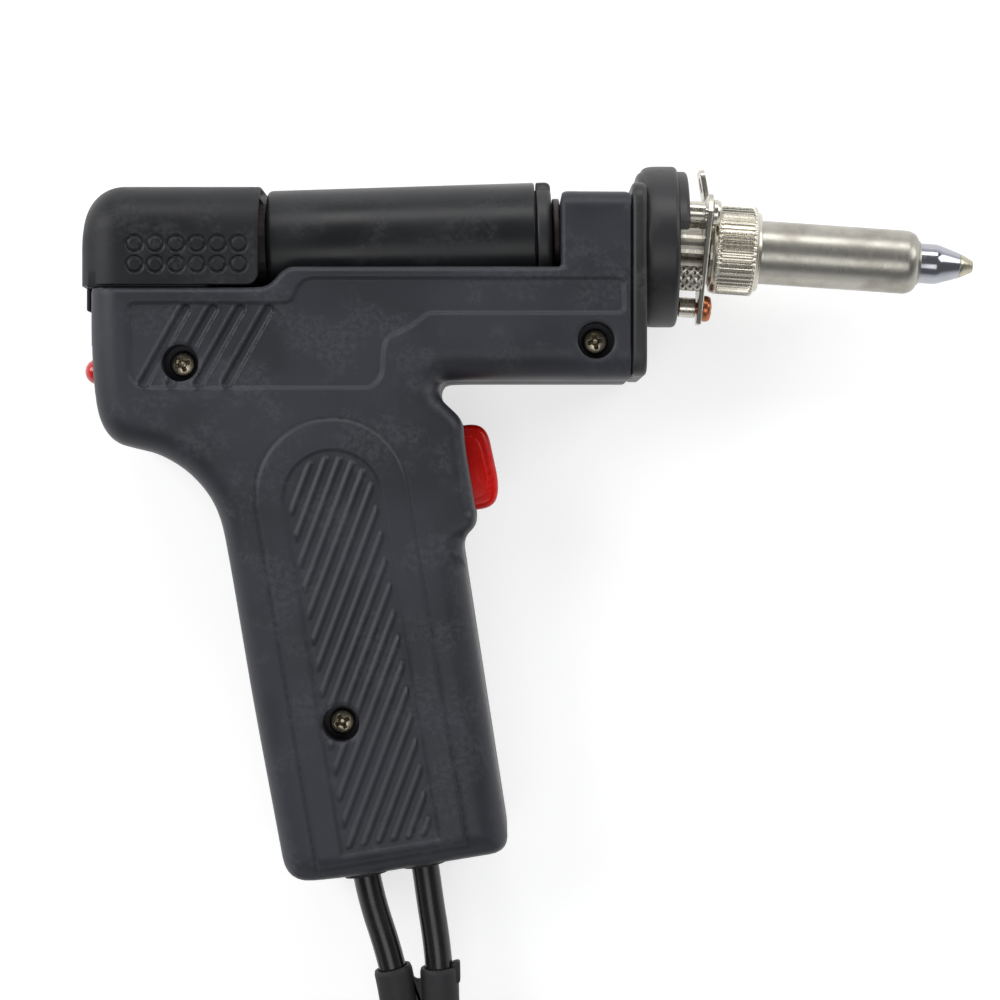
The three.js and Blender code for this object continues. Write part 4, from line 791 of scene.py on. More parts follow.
def side_relief(x, y, panel):
    """Height of the pressed and raised details over the plain side face: the sunk panel with its four bars, the band
    round the grip, and the slanted round-ended ribs within it."""
    s = sizes()
    mm = 1 / MM
    z = -s.panel_depth * mm * rise(-0.25, 0.45, distance_inside(x, y, panel))
    bar = np.full(x.shape, 9.0)
    for top in BAR_TOPS:
        bar = np.minimum(bar, capsule(x, y, top + BAR_SHIFT, BAR_Y[0], top, BAR_Y[1]))
    z -= s.bar_depth * mm * rise(1.05, 0.6, bar) - 0.2 * rise(1.75, 1.2, bar) * rise(0.75, 1.15, bar)
    u, v = grip_frame(x, y)
    band = arch_inside(u, v, -1.1, -6.4, 14.5, 64.6)
    z += s.band_height * mm * rise(-0.2, 0.35, band) - 0.22 * rise(0.5, 0.0, np.abs(band + 0.35))
    field = arch_inside(u, v, -1.1, -5.4, 9.7, 62.9)
    z -= 0.5 * rise(-0.2, 0.4, field)
    lean = math.radians(30)
    across = u * math.cos(lean) + v * math.sin(lean)
    pitch = s.rib_pitch * mm
    rib = np.round(across / pitch) * pitch
    off = np.abs(across - rib)
    room = field - 1.35
    end = np.hypot(off, np.maximum(0.39 - room, 0))
    z += s.rib_height * mm * rise(0.62, 0.2, end) * (room > -0.35)
    return z


def housing_half(name, spacing, upper, node_names):
    """One moulded half: a grid cut to the outline, raised to the side face less its edge rounding and plus its
    relief, with walls down to the split plane that bend round the canister's trough, the plunger's channel and the
    trigger's pocket. Bores for the screws go to flat floors."""
    corners = np.array([p[:2] for p in OUTLINE])
    cuts = np.array([p[2] for p in OUTLINE])
    line = rounded(corners, cuts, 6, closed=True)
    stretch = np.array([p[3] for p in OUTLINE])
    owner = np.array([np.argmin(capsule(mx, my, corners[:, 0], corners[:, 1], np.roll(corners[:, 0], -1),
                                        np.roll(corners[:, 1], -1)))
                      for mx, my in (line + np.roll(line, -1, axis=0)) / 2])
    radii = stretch[owner]
    xs = np.arange(-88.2, 21.4, spacing)
    ys = np.arange(-72.6, 67.4, spacing)
    x, y = (a.ravel() for a in np.meshgrid(xs, ys, indexing="ij"))
    inside = distance_inside(x, y, line)
    kept = inside > -0.5 * spacing
    if upper:
        for sx, sy in SCREW_PLACES:
            bore = np.hypot(x - sx, y - sy) - RECESS_RADIUS
            kept &= bore > -0.5 * spacing
            inside = np.minimum(inside, bore)
    faces = grid_faces(len(xs), len(ys))
    faces = faces[kept[faces].all(axis=1)][:, ::-1]
    edges = np.concatenate([faces[:, [k, (k + 1) % 4]] for k in range(4)])
    key = np.sort(edges, axis=1)
    code = key[:, 0] * len(x) + key[:, 1]
    _, index, count = np.unique(code, return_index=True, return_counts=True)
    rim = edges[index[count == 1]]
    rim_points = np.unique(rim)
    for _ in range(2):
        px, py = x[rim_points], y[rim_points]
        dx, dy, away = slide_to(px, py, line, upper)
        x[rim_points], y[rim_points] = px - dx * away, py - dy * away
    panel = rounded(PANEL, 1.4, 4, closed=True)
    z = WIDTH - edge_drop(x, y, line, radii) + side_relief(x, y, panel) * rise(0.2, 1.4, distance_inside(x, y, line))
    if upper:
        for sx, sy in SCREW_PLACES:
            z -= 0.3 * rise(0.7, 0.0, np.hypot(x - sx, y - sy) - RECESS_RADIUS)
    else:
        z -= sizes().band_height / MM
    levels = 11  # rings of points down the walls
    bx, by, bz = x[rim_points], y[rim_points], z[rim_points]
    in_bore = np.zeros(len(rim_points), bool)
    if upper:
        for sx, sy in SCREW_PLACES:
            in_bore |= np.hypot(bx - sx, by - sy) < RECESS_RADIUS + 0.6
    share = np.linspace(0, 1, levels)[1:, None]
    floor = np.where(in_bore, RECESS_FLOOR, MID_Z + 0.04)
    wz = bz + (floor - bz) * share
    wx, wy = wall_places(bx[None] + 0 * wz, by[None] + 0 * wz, wz, in_bore)
    groove = np.zeros_like(wz)
    groove[-1] = 0.35 * ~in_bore
    nx, ny, _ = slide_to(bx, by, line, False)
    wx, wy = wx + groove * nx, wy + groove * ny
    number = np.zeros(len(x), int)
    number[rim_points] = np.arange(len(rim_points))
    a, b = number[rim[:, 0]], number[rim[:, 1]]
    base, n = len(x), len(rim_points)
    walls = [np.stack([rim[:, 1], rim[:, 0], base + a, base + b], axis=1)]
    for k in range(levels - 2):
        upper_ring, lower_ring = base + k * n, base + (k + 1) * n
        walls.append(np.stack([upper_ring + b, upper_ring + a, lower_ring + a, lower_ring + b], axis=1))
    points = np.stack([np.r_[x, wx.ravel()], np.r_[y, wy.ravel()], np.r_[z, wz.ravel()]], axis=1)
    faces = np.concatenate([faces, *walls])
    used = np.unique(faces)
    renumber = np.zeros(len(points), int)
    renumber[used] = np.arange(len(used))
    points, faces = points[used], renumber[faces]
    if not upper:
        points[:, 2] = 2 * MID_Z - points[:, 2]
        faces = faces[:, ::-1]
    half = piece(name, [(points, [faces])], look("housing_plastic"), stands_for=node_names,
                 sharp=50, keep_way=True)
    rework(half.data, close_holes)
    shade(half.data, 50)


def close_holes(work):
    """Fills every open ring of a mesh with flat triangles found in the side view, so that bays stay open."""
    work.verts.index_update()
    following = {}
    for edge in work.edges:
        if edge.is_boundary:
            loop = edge.link_loops[0]
            following[loop.link_loop_next.vert] = loop.vert
    while following:
        start = next(iter(following))
        ring, vert = [], start
        while vert in following:
            ring.append(vert)
            vert = following.pop(vert)
        flat = [Vector((v.co.x, v.co.y)) / MM for v in ring]
        _, _, triangles, sources, _, _ = delaunay_2d_cdt(flat, [], [list(range(len(ring)))], 1, 1e-6)
        for triangle in triangles:
            corners = [ring[sources[k][0]] for k in triangle if sources[k]]
            if len(set(corners)) == 3 and work.faces.get(corners) is None:
                work.faces.new(corners)
    bmesh.ops.recalc_face_normals(work, faces=work.faces)


def slide_to(x, y, line, bores):
    """Unit direction of growing distance, and the distance itself, from the outline or the nearest screw bore."""
    step = 0.02

    def field(px, py):
        value = distance_inside(px, py, line)
        if bores:
            for sx, sy in SCREW_PLACES:
                value = np.minimum(value, np.hypot(px - sx, py - sy) - RECESS_RADIUS)
        return value

    dx = field(x + step, y) - field(x - step, y)
    dy = field(x, y + step) - field(x, y - step)
    size = np.maximum(np.hypot(dx, dy), 1e-9)
    return dx / size, dy / size, field(x, y)


def wall_places(x, y, z, in_bore):
    """Where the wall stands at each height: on the outline, but drawn back to a circle round the canister's and the
    plunger's axes on the top, and into a pocket behind the trigger."""
    axis_y = CANISTER_Y + (x - CANISTER_X) * math.tan(CANISTER_TILT)
    off = np.abs(z - MID_Z)
    trough = axis_y - np.sqrt(np.maximum(TROUGH_RADIUS ** 2 - off ** 2, 0))
    on_cradle = (y > 46.5) & (x > -51.2) & (x < 6.1) & ~in_bore
    y = np.where(on_cradle & (off < TROUGH_RADIUS), np.minimum(y, np.maximum(trough, TROUGH_FLOOR)), y)
    channel = CHANNEL_Y - np.sqrt(np.maximum(CHANNEL_RADIUS ** 2 - off ** 2, 0))
    on_deck = (y > 45.8) & (x <= -51.2) & ~in_bore
    y = np.where(on_deck & (off < CHANNEL_RADIUS), np.minimum(y, channel), y)
    u, v = grip_frame(x, y)
    pocket = rise(-17.0, -16.3, v) * rise(2.4, 1.7, v) * rise(6.4, 5.8, off) * (u > 20) * ~in_bore
    depth = np.where(pocket > 0, 8.0 * pocket, 0)
    return x - depth * math.cos(GRIP_TILT), y - depth * math.sin(GRIP_TILT)


def make_housing():
    s = sizes()
    housing_half("housing_right_shell", s.fine_grid / MM, True, ("housing_right",))
    housing_half("housing_left_shell", s.coarse_grid / MM, False, ("housing_left",))


def pan_head(at, turn, radius=2.5, height=1.9):
    """A domed screw head with a cross recess: a polar grid whose height is a flat dome less a cross of two rounded
    slots that deepen toward the middle, closed below."""
    rings = np.r_[np.linspace(0, 0.86, 34), 0.93, 0.97, 0.99, 1.0] * radius
    angle = np.linspace(0, 2 * math.pi, 96, endpoint=False)
    r, a = np.meshgrid(rings, angle, indexing="ij")
    x, y = r * np.cos(a), r * np.sin(a)
    t = r / radius
    z = height - 0.55 * t ** 2 - 0.5 * rise(0.86, 1.0, t) ** 2
    c, s = math.cos(turn), math.sin(turn)
    p, q = np.abs(x * c + y * s), np.abs(-x * s + y * c)
    slot = np.maximum(rise(0.42, 0.24, p) * rise(1.6, 1.25, q), rise(0.42, 0.24, q) * rise(1.6, 1.25, p))
    core = rise(0.85, 0.5, np.hypot(x, y))
    z -= np.maximum(slot, core) * (0.45 + 0.75 * rise(1.6, 0.2, np.hypot(x, y)))
    top = np.stack([x, y, z], axis=2).reshape(-1, 3)
    foot = top[-96:].copy()
    foot[:, 2] = 0
    points = np.vstack([top, foot]) + np.asarray(at, float)
    n = len(top) - 96
    faces = grid_faces(len(rings), 96, wrap=True)[96:]
    ring = np.arange(96)
    fan = np.stack([np.zeros(96, int), 96 + ring, 96 + (ring + 1) % 96], axis=1)
    side = np.stack([n + ring, n + 96 + ring, n + 96 + (ring + 1) % 96, n + (ring + 1) % 96], axis=1)
    return points, [faces, fan, side, (n + 96 + ring)[None, ::-1]]


def make_housing_screws():
    for (sx, sy), name, turn in zip(SCREW_PLACES, ("rear", "grip", "front"), (0.35, 0.5, 0.2)):
        piece(f"housing_screw_{name}_head", [pan_head((sx, sy, RECESS_FLOOR + 0.05), turn)], look("screw_plate"),
              stands_for=(f"housing_screw_{name}",), sharp=40)


# ---------------------------------------------------------------- rear cover, canister, collar

def sew(work):
    """Merges points that lie together and turns the faces so that the highest one looks up."""
    bmesh.ops.remove_doubles(work, verts=work.verts, dist=2e-6)
    bmesh.ops.dissolve_degenerate(work, edges=work.edges, dist=1e-6)
    bmesh.ops.recalc_face_normals(work, faces=work.faces)
    top_face = max(work.faces, key=lambda f: f.calc_center_median().y)
    if top_face.normal.y < 0:
        bmesh.ops.reverse_faces(work, faces=work.faces)


def make_rear_cover():
    """A hood: an upside-down U with round shoulders carried along x, drawn in on a quarter circle at its rear and
    closed by a flat back, then given its wall. Twelve discs stand in grooves on each side."""
    s = sizes()
    x = np.r_[np.linspace(-52.5, -55.0, 12), np.linspace(-55.25, -79.0, 96), np.linspace(-79.2, -87.4, 34)]
    rear = np.clip((-79.5 - x) / 8.0, 0, 1)
    inset = 8.0 * (1 - np.sqrt(1 - rear ** 2)) + 0.5 * (1 - np.sqrt(1 - np.clip((x + 53.2) / 0.7, 0, 1) ** 2))
    foot, top, half, shoulder = 46.9, 66.8, 15.5, 9.0
    corner = 2.4 * (1 - np.sqrt(1 - np.clip((x + 54.9) / 2.4, 0, 1) ** 2))
    run = np.linspace(0, 1, 57)
    arc = np.linspace(0, math.pi / 2, 41)[1:]
    side_y = foot + (top - shoulder - foot) * run
    arc_y = top - shoulder + shoulder * np.sin(arc)
    arc_z = half - shoulder + shoulder * np.cos(arc)
    flat = np.linspace(half - shoulder, 0, 17)[1:]
    y = np.r_[side_y, arc_y, np.full(16, top)]
    z = np.r_[np.full(57, half), arc_z, flat]
    y, z = np.r_[y, y[-2::-1]], np.r_[z, -z[-2::-1]]
    share_y = (y - foot) / (top - foot)
    gx = np.repeat(x[:, None], len(y), axis=1)
    gy = y[None] - inset[:, None] * share_y[None] + corner[:, None] * (1 - share_y[None])
    gz = z[None] * (1 - 0.72 * inset[:, None] / half)
    dot = np.full(gx.shape, 9.0)
    for cx in (-76.5, -72.5, -68.4, -64.4, -60.4, -56.3):
        for cy in (54.8, 50.8):
            dot = np.minimum(dot, np.hypot(gx - cx, gy - cy))
    depth = s.dot_groove / MM * rise(0.4, 0.1, np.abs(dot - 1.55)) - 0.08 * rise(1.5, 1.2, dot)
    gz -= np.sign(gz) * depth * (np.abs(gz) > half - 1.5)
    points = np.stack([gx, gy, gz + MID_Z], axis=2)
    rows, columns = points.shape[:2]
    cap_left, cap_right = points[-1, :97], points[-1, ::-1][:97]
    t = np.linspace(0, 1, 33)[None, :, None]
    cap = cap_left[:, None] * (1 - t) + cap_right[:, None] * t
    cap[:-1, 1:-1, 0] = -87.5
    faces = [grid_faces(rows, columns), grid_faces(*cap.shape[:2]) + rows * columns]
    every = np.vstack([points.reshape(-1, 3), cap.reshape(-1, 3)])
    cover = piece("rear_cover_hood", [(every, faces)], look("cover_plastic"), body="rear_cover",
                  stands_for=("rear_slide_cover",), keep_way=True)
    rework(cover.data, sew)
    shade(cover.data, 40)
    wall = cover.modifiers.new("wall", "SOLIDIFY")
    wall.thickness, wall.offset, wall.use_even_offset = 1.8 * MM, -1.0, False
    rails = [block(-85.9, -62.5, 46.3, 49.6, z, z + 1.8, 0.35) for z in (2.6, 29.6)]
    tab = block(-87.45, -86.55, 42.4, 50.9, 12.0, 22.0, 0.3)
    piece("rear_cover_rails", [*rails, tab], look("cover_plastic"), body="rear_cover")


def canister_lathe(profile, sides=96, bump=None):
    return closed_ring(profile, sides, (CANISTER_X, CANISTER_Y, MID_Z), bump, CANISTER_TILT)


def make_canister():
    """The tube, its front ring with a notch, and the soft seal: closed profiles turned round the canister's axis."""
    can = rounded([(-26.5, 4.0), (-26.5, 11.5), (26.5, 11.5), (26.5, 10.3), (-25.0, 10.3), (-25.0, 4.0)],
                  [0.2, 1.2, 0.5, 0.3, 0.3, 0.2], 5, closed=True)
    can = np.insert(can, 12, [[-8.0, 11.5], [8.0, 11.5]], axis=0)
    piece("filter_canister_tube", [canister_lathe(can, 128)], look("canister_satin"), body="canister",
          stands_for=("filter_canister",))

    def notch(x, angle):
        return -1.1 * rise(0.16, 0.12, np.abs(angle - 0.45)) * (x > 27.0)

    ring = rounded([(22.8, 4.0), (22.8, 9.9), (26.8, 9.9), (26.8, 11.5), (29.7, 11.5), (29.7, 4.0)],
                   [0.2, 0.2, 0.2, 0.4, 1.2, 0.2], 4, closed=True)
    piece("canister_end_ring", [canister_lathe(ring, 160, notch)], look("black_plastic"), body="canister",
          stands_for=("canister_front_ring",))
    seal = rounded([(29.95, 3.4), (29.95, 8.2), (31.4, 8.2), (31.4, 3.4)], 0.45, 4, closed=True)
    piece("canister_seal", [canister_lathe(seal, 96)], look("silicone"), body="canister", stands_for=("front_seal",))


def sector(profile, first, last, steps, at):
    """A closed profile of (x, radius) turned from one angle to another about the x axis, with flat ends."""
    x, r = profile.T
    angle = np.linspace(first, last, steps)[:, None]
    points = np.stack([np.repeat(x[None], steps, axis=0), r * np.cos(angle), r * np.sin(angle)], axis=2)
    return points.reshape(-1, 3) + np.asarray(at, float), capped(steps, len(profile))


def make_collar():
    """A rounded base plate, a thick disc with a stepped front, and the arch over the flange's foot."""
    to_front = np.array([[0, 0, 1], [0, 1, 0], [1, 0, 0]])
    outline = rounded([(0.1, 29.2), (33.9, 29.2), (33.9, 67.0), (0.1, 67.0)], [4.5, 4.5, 5.0, 5.0], 8, closed=True)
    base = placed(slab(outline, 20.0, 22.9, 0.9), to_front, (0, 0, 0))
    ear = rounded([(3.5, 55), (30.5, 55), (30.5, 64.0), (24.0, 70.2), (10.0, 70.2), (3.5, 64.0)], 5.0, 8, closed=True)
    ear = placed(slab(ear, 21.4, 26.0, 1.2), to_front, (0, 0, 0))
    at = (0, AXIS_Y, MID_Z)
    profile = [(22.1, 0), (22.1, 14.6), (23.2, 16.0), (29.5, 16.0), (29.5, 0)]
    disc = lathe(rounded(profile, [0, 1.2, 2.0, 1.1, 0], 6), 128, at)
    profile = [(29.2, 10.0), (31.5, 10.0), (31.5, 15.0), (29.2, 15.0)]
    arch = sector(rounded(profile, [0.1, 0.6, 0.8, 0.1], 4, closed=True), -1.32, 1.32, 56, at)
    piece("front_collar_body", [base, ear, disc, arch], look("collar_black"), stands_for=("front_collar",),
          sharp=40)


# ---------------------------------------------------------------- trigger and lamp

def from_grip(u, v):
    """Side-view place of a point given in the grip's own frame."""
    c, s = math.cos(GRIP_TILT), math.sin(GRIP_TILT)
    return np.stack([GRIP_X + u * c + v * s, u * s - v * c], axis=-1)


def make_trigger():
    """The red key: a six-cornered outline with soft corners, rounded over both sides, with a raised pad on each."""
    outline = rounded([(20.8, -15.8), (28.6, -15.8), (30.7, -13.8), (31.2, -2.8), (29.6, 1.2), (20.8, 1.2)],
                      [0.8, 2.4, 2.4, 3.2, 2.6, 0.8], 8, closed=True)
    key = slab(from_grip(*outline.T), 11.55, 22.45, 1.5, 8)
    inner = rounded([(22.0, -13.9), (27.4, -13.9), (28.9, -12.2), (29.5, -4.0), (28.0, -0.7), (22.0, -0.7)],
                    [0.8, 2.0, 2.2, 2.8, 2.2, 0.8], 8, closed=True)
    pad = slab(from_grip(*inner.T), 11.3, 22.7, 0.5, 5)
    piece("trigger_key", [key, pad], look("trigger_red"), body="trigger", stands_for=("trigger_button",),
          sharp=60)


def make_lamp():
    """A short rod with a domed end."""
    turn = np.linspace(0, math.pi / 2, 13)
    dome = np.stack([-86.2 - 2.3 * np.cos(turn), 2.5 * np.sin(turn)], axis=1)
    lens = np.vstack([dome, [(-84.2, 2.5), (-84.1, 0)]])
    bezel = rounded([(-85.0, 2.55), (-85.95, 2.7), (-85.95, 3.3), (-85.0, 3.5)], 0.2, 4, closed=True)
    at = (0, 30.7, MID_Z)
    piece("indicator_lens", [lathe(lens, 48, at)], look("lamp_red"), stands_for=("lamp_lens",))
    piece("indicator_bezel", [closed_ring(bezel, 48, at)], look("housing_plastic"))


# ---------------------------------------------------------------- heater

def heater_at(x, y, z):
    """Place of a point given in the heater's own frame."""
    c, s = math.cos(HEATER_TILT), math.sin(HEATER_TILT)
    return np.array([HEATER_X + x * c - y * s, AXIS_Y + x * s + y * c, MID_Z + z])


def heater_lathe(profile, sides=96, y=0.0, z=0.0, bump=None):
    return lathe(profile, sides, heater_at(0, y, z), HEATER_TILT, bump)


def heater_ring(profile, sides=96, y=0.0, z=0.0, bump=None):
    return closed_ring(profile, sides, heater_at(0, y, z), bump, HEATER_TILT)


BOLT_CIRCLE, LOBE_RADIUS, FLANGE_REACH = 12.0, 3.4, 15.4
SPACER_PLACES = tuple((BOLT_CIRCLE * math.sin(math.radians(a)), BOLT_CIRCLE * math.cos(math.radians(a)))
                      for a in (-90, 30, 150))
SLEEVE_PLACE = (-6.6, 5.0)


def make_spacers():
    """Three turned posts between collar and flange, and their domed cross-head screws."""
    for k, (y, z) in enumerate(SPACER_PLACES, start=1):
        rear = -2.0 * math.cos(HEATER_TILT) - y * math.sin(-HEATER_TILT) + 0.6
        post = rounded([(rear, 1.6), (rear, 2.0), (2.7, 2.0), (2.7, 1.6)], 0.2, 3, closed=True)
        piece(f"flange_post_{k}", [heater_ring(post, 48, y, z)], look("nickel_plate"),
              stands_for=(f"flange_spacer_{k}",))
        c, s = math.cos(HEATER_TILT), math.sin(HEATER_TILT)
        along = np.array([[0, -s, c], [0, c, s], [-1, 0, 0]])
        head = placed(pan_head((0, 0, 0), 0.5, 2.6, 1.75), along, heater_at(4.3, y, z))
        shank = heater_lathe([(-8.0, 0), (-8.0, 1.2), (4.4, 1.2), (4.4, 0)], 24, y, z)
        piece(f"flange_bolt_{k}", [head, shank], look("copper_plate" if k == 1 else "nickel_plate"),
              stands_for=(f"flange_screw_{k}",), sharp=40)


def make_flange():
    """A 1 mm plate: a circle pushed out to three lobes, with a bore, and a leaning tab with a hole above it. The
    outline's radius at each angle is the farthest of the three lobe circles and the straight sides between them."""
    angle = np.linspace(0, 2 * math.pi, 240, endpoint=False)
    reach = np.zeros_like(angle)
    for y, z in SPACER_PLACES:
        lean = angle - math.atan2(z, y)
        beside = BOLT_CIRCLE * np.abs(np.sin(lean))
        lobe = BOLT_CIRCLE * np.cos(lean) + np.sqrt(np.maximum(LOBE_RADIUS ** 2 - beside ** 2, 0)) \
            * (beside < LOBE_RADIUS) * (np.cos(lean) > 0)
        reach = np.maximum(reach, lobe)
    sixth = np.abs((angle - math.atan2(SPACER_PLACES[0][1], SPACER_PLACES[0][0]) + math.pi / 3)
                   % (2 * math.pi / 3) - math.pi / 3)
    side = np.minimum((BOLT_CIRCLE / 2 + LOBE_RADIUS) / np.cos(math.pi / 3 - sixth), FLANGE_REACH)
    outer = np.minimum(np.where(sixth * BOLT_CIRCLE > 3.2, side, np.maximum(reach, side)), FLANGE_REACH)
    rim = [(3.0, -0.15), (3.15, 0.0), (3.85, 0.0), (4.0, -0.15)]
    bore = 4.3
    x = np.array([3.0, *(p[0] for p in rim), 4.0])
    r = np.stack([np.full_like(angle, bore), *(outer + p[1] for p in rim), np.full_like(angle, bore)])
    points = np.stack([np.repeat(x[:, None], len(angle), axis=1), r * np.cos(angle), r * np.sin(angle)], axis=2)
    faces = grid_faces(len(x) + 1, len(angle), wrap=True) % (len(x) * len(angle))
    plate = tilted(points.reshape(-1, 3), HEATER_TILT, heater_at(0, 0, 0)), [faces]
    a = np.linspace(0, 2 * math.pi, 96, endpoint=False)
    hole = np.stack([3.6 + 1.5 * np.cos(a), 1.5 * np.sin(a)], axis=1)
    long, wide = 3.5, 4.0
    far = (np.abs(np.cos(a) / long) ** 4 + np.abs(np.sin(a) / wide) ** 4) ** -0.25
    edge = np.stack([3.0 + far * np.cos(a), far * np.sin(a)], axis=1)
    tx = np.array([0.0, 0.12, 0.88, 1.0])
    pull = np.array([0.12, 0.0, 0.0, 0.12])
    layers = [hole] + [edge + (edge.mean(axis=0) - edge) * p / 4 for p in pull] + [hole]
    height = [0.0, *tx, 1.0]
    tab = np.stack([np.column_stack([np.full(96, h), layer]) for h, layer in zip(height, layers)])
    tab_faces = grid_faces(7, 96, wrap=True) % (6 * 96)
    tab = tilted(tilted(tab.reshape(-1, 3), math.radians(14), (3.0, 9.0, 0)), HEATER_TILT, heater_at(0, 0, 0))
    piece("flange_plate", [plate, (tab, [tab_faces])], look("nickel_plate"), stands_for=("heater_flange",),
          sharp=35)


def make_sleeve():
    """A braided sleeve round the heater's wires: two families of raised strands wound opposite ways on a tube."""
    x = np.linspace(-7.0, 3.4, 90)
    profile = np.stack([x, np.full(90, 2.32)], axis=1)
    profile = np.vstack([profile, [(3.4, 1.6), (-7.0, 1.6)]])

    def strands(px, angle):
        one, two = np.cos(8 * angle + 4.2 * px), np.cos(8 * angle - 4.2 * px)
        return 0.16 * np.maximum(one, two) * (px > -6.99) * (px < 3.39)

    piece("braided_sleeve", [heater_ring(profile, 96, *SLEEVE_PLACE, strands)], look("steel"),
          stands_for=("lead_sleeve",))


def make_nut():
    """A knurled nut: its radius waves round the axis with flat-topped ridges that fade out at both ends."""
    s = sizes()
    depth, count = s.knurl_depth / MM, s.knurls
    x = np.linspace(6.0, 13.4, 26)
    outer = [(5.0, 7.9), (5.05, 8.35), (5.3, 8.6), (5.7, 8.75), *((v, 8.85) for v in x), (13.7, 8.55), (13.8, 8.2),
             (14.0, 7.9), (14.45, 7.75), (14.6, 7.5)]
    profile = np.array([*outer, (14.6, 6.62), (7.4, 6.62), (7.4, 7.5), (5.0, 7.5)])

    def ridges(px, angle):
        wave = rise(0.25, 0.8, 0.5 + 0.5 * np.cos(count * angle))
        return -depth * wave * rise(5.9, 6.6, px) * rise(13.5, 12.8, px) * (px < 13.6)

    piece("heater_nut", [heater_ring(profile, count * 8, bump=ridges)], look("nut_satin"), body="nut",
          stands_for=("knurled_nut",), sharp=35)


def make_pipe():
    """The heater pipe: a long tube with a rounded shoulder that narrows to the nozzle's mouth."""
    turn = np.linspace(0, math.pi / 2, 9)
    shoulder = np.stack([43.6 + 2.6 * np.sin(turn), 4.5 + 1.8 * np.cos(turn)], axis=1)
    outer = [(6.1, 5.5), (6.1, 7.1), (6.25, 7.2), (7.0, 7.2), (7.1, 7.1), (7.1, 6.3), (7.3, 6.3),
             *((v, 6.3) for v in np.linspace(16, 42, 6)), *map(tuple, shoulder), (46.6, 4.4)]
    profile = np.array([*outer, (46.6, 4.3), (45.6, 4.3), (45.6, 4.75), (43.6, 5.5)])
    piece("heater_barrel", [heater_ring(profile, 128)], look("brushed_pipe"), stands_for=("heater_pipe",),
          sharp=35)


def make_nozzle():
    """The plated nozzle: a cylinder, a cone, a small neck and a rounded tip round its bore."""
    profile = rounded([(42.2, 1.2), (42.2, 4.6), (45.2, 4.6), (45.2, 4.0), (50.2, 4.0), (54.7, 2.5), (54.7, 0.6),
                       (50.7, 0.6), (48.7, 1.2)], [0.2, 0.2, 0.2, 0.2, 0.7, 0.15, 0.2, 0.2, 0.2], 5, closed=True)
    tip = [(54.72, 0.6), (54.72, 2.42), (55.2, 2.3), (57.5, 1.1), (57.5, 0.6)]
    tip = rounded(tip, [0.1, 0.15, 0.4, 0.35, 0.15], 5, closed=True)
    piece("suction_nozzle", [heater_ring(profile, 96)], look("polished_nozzle"), stands_for=("nozzle",),
          sharp=35)
    piece("nozzle_tip", [heater_ring(tip, 96)], look("tip_plate"), sharp=35)


# ---------------------------------------------------------------- twin clip on the leads

def make_clip():
    """Two thin sleeves carried along the leads between the fifth and seventh route points, joined by a web whose top
    edge dips between them, with a flap beside the power lead."""
    parts = []
    for route in (HOSE_ROUTE, POWER_ROUTE):
        way = smooth_way(route[4:9], 0.0004) / MM
        low, high = route[5, 1] / MM + 0.6, route[7, 1] / MM
        way = way[(way[:, 1] <= low) & (way[:, 1] >= high)]
        ring, _ = circles_along(way, 40)
        t = np.linspace(0, 1, len(way))
        lip = 0.22 * (rise(0.06, 0.0, t) + rise(0.94, 1.0, t))
        outer = way[:, None] + ring * (3.85 - lip)[:, None, None]
        inner = way[::-1, None] + ring[::-1] * 2.95
        points = np.concatenate([outer, inner])
        n = len(points)
        parts.append((points.reshape(-1, 3), [grid_faces(n + 1, 40, wrap=True) % (n * 40)]))
    dip = np.linspace(0, 1, 17)
    left, right = -24.2, -19.6
    top = np.stack([left + (right - left) * dip, -88.2 - 2.6 * np.sin(math.pi * dip) ** 0.8], axis=1)
    low = np.stack([left + 0.8 + (right - left) * dip[::-1] * 0.9, np.full(17, -100.4)], axis=1)
    web = np.vstack([top, low])
    web = web[np.r_[True, np.hypot(*np.diff(web, axis=0).T) > 1e-6]]
    parts.append(slab(web, 15.2, 17.4, 0.4, 3))
    flap = rounded([(-15.4, -87.4), (-13.6, -87.0), (-13.5, -91.4), (-15.0, -91.9)], 0.7, 5, closed=True)
    parts.append(slab(flap, 14.6, 17.8, 0.4, 3))
    piece("twin_lead_clip", parts, look("rubber"), stands_for=("lead_clip",), sharp=50)


# ---------------------------------------------------------------- working parts that stay as they are

def make_inner_parts():
    """The working parts inside keep the frame's own meshes and take their finishes."""
    for finish_name, nodes in INNER_FINISHES.items():
        for name in nodes:
            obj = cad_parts[name]
            if len(obj.material_slots):
                obj.material_slots[0].material = look(finish_name)
            else:
                obj.data.materials.append(look(finish_name))


# ---------------------------------------------------------------- operators, panel and the whole gun

class GunOperator:
    """Shared run: calls the maker named by the operator."""
    bl_options = {"REGISTER", "UNDO"}

    def execute(self, context):
        type(self).maker()
        return {"FINISHED"}


def operator(name, label, description, maker):
    """An operator class for one piece or one group of like pieces."""
    return type(f"GUN_OT_{name}", (GunOperator, bpy.types.Operator), {
        "bl_idname": f"gun.{name}", "bl_label": label, "__doc__": description, "maker": staticmethod(maker)})


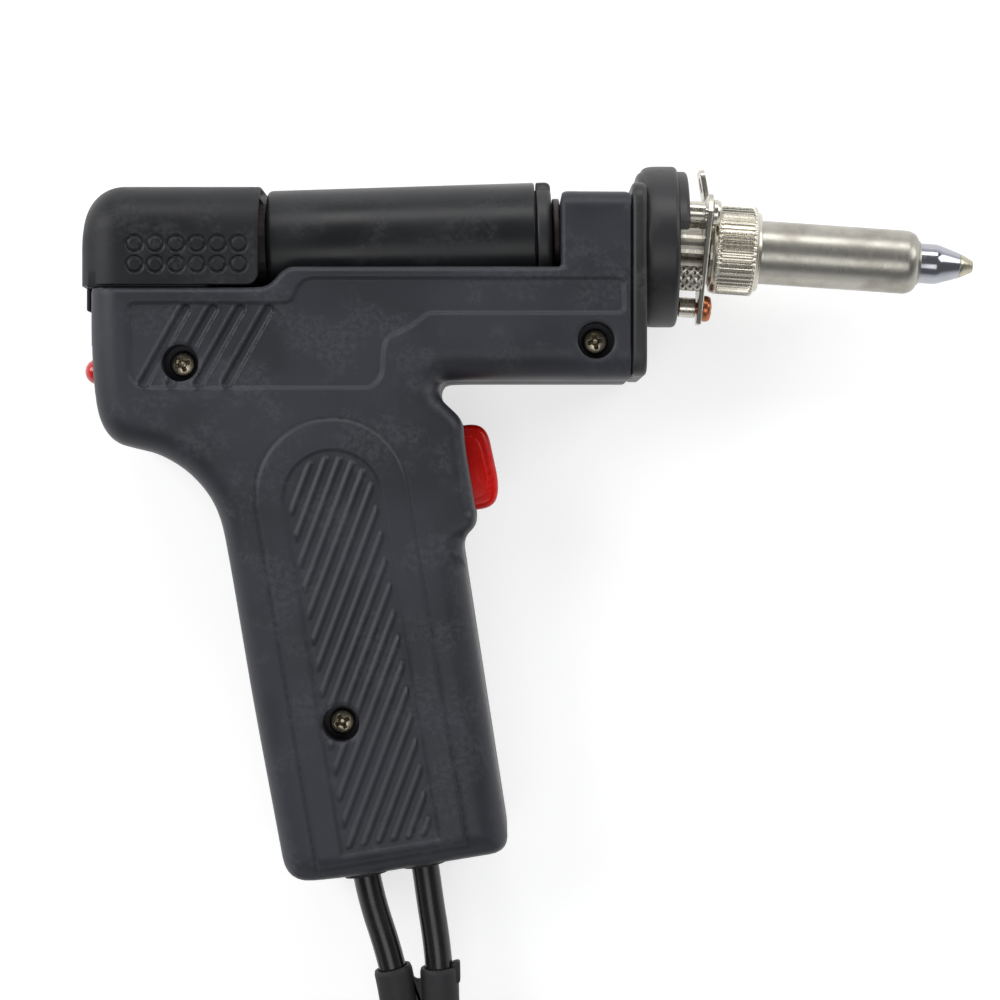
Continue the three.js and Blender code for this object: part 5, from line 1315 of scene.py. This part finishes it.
OPERATORS = (
    operator("finishes", "Finishes", "Make every plastic, metal and rubber finish", make_finishes),
    operator("stage", "Stage", "Make the floor, the lamps and the camera", make_stage),
    operator("leads", "Leads", "Make the power lead and vacuum hose with their ties, plug and fitting", make_leads),
    operator("clip", "Lead clip", "Make the twin clip that holds the leads together", make_clip),
    operator("housing", "Housing", "Make both moulded housing halves", make_housing),
    operator("housing_screws", "Housing screws", "Make the three screws sunk in the housing", make_housing_screws),
    operator("rear_cover", "Rear cover", "Make the sliding hood over the plunger, with its rails", make_rear_cover),
    operator("canister", "Canister", "Make the filter canister, its ring and its seal", make_canister),
    operator("collar", "Collar", "Make the front collar", make_collar),
    operator("trigger", "Trigger", "Make the red trigger key", make_trigger),
    operator("lamp", "Lamp", "Make the indicator lamp", make_lamp),
    operator("spacers", "Spacers", "Make the flange's posts and screws", make_spacers),
    operator("flange", "Flange", "Make the three-lobed flange plate with its tab", make_flange),
    operator("sleeve", "Braided sleeve", "Make the braided sleeve of the heater's wires", make_sleeve),
    operator("nut", "Nut", "Make the knurled nut", make_nut),
    operator("pipe", "Heater pipe", "Make the stainless heater pipe", make_pipe),
    operator("nozzle", "Nozzle", "Make the suction nozzle", make_nozzle),
    operator("inner_parts", "Inner parts", "Give the working parts inside their finishes", make_inner_parts),
)


class GUN_PT_panel(bpy.types.Panel):
    """Sizes, colours and makers of the gun."""
    bl_label = "Desoldering gun"
    bl_space_type = "VIEW_3D"
    bl_region_type = "UI"
    bl_category = "Gun"

    def draw(self, context):
        layout = self.layout
        for made in OPERATORS:
            layout.operator(made.bl_idname)
        for group in (context.scene.gun_sizes, context.scene.gun_colours):
            column = layout.column(align=True)
            for key in group.__annotations__:
                column.prop(group, key)


CLASSES = (GunSizes, GunColours, *OPERATORS, GUN_PT_panel)


def register():
    for made in CLASSES:
        bpy.utils.register_class(made)
    bpy.types.Scene.gun_sizes = PointerProperty(type=GunSizes)
    bpy.types.Scene.gun_colours = PointerProperty(type=GunColours)


def unregister():
    del bpy.types.Scene.gun_colours
    del bpy.types.Scene.gun_sizes
    for made in reversed(CLASSES):
        bpy.utils.unregister_class(made)


def main():
    register()
    for made in OPERATORS:
        getattr(bpy.ops.gun, made.bl_idname.partition(".")[2])()


if __name__ == "__main__":
    main()
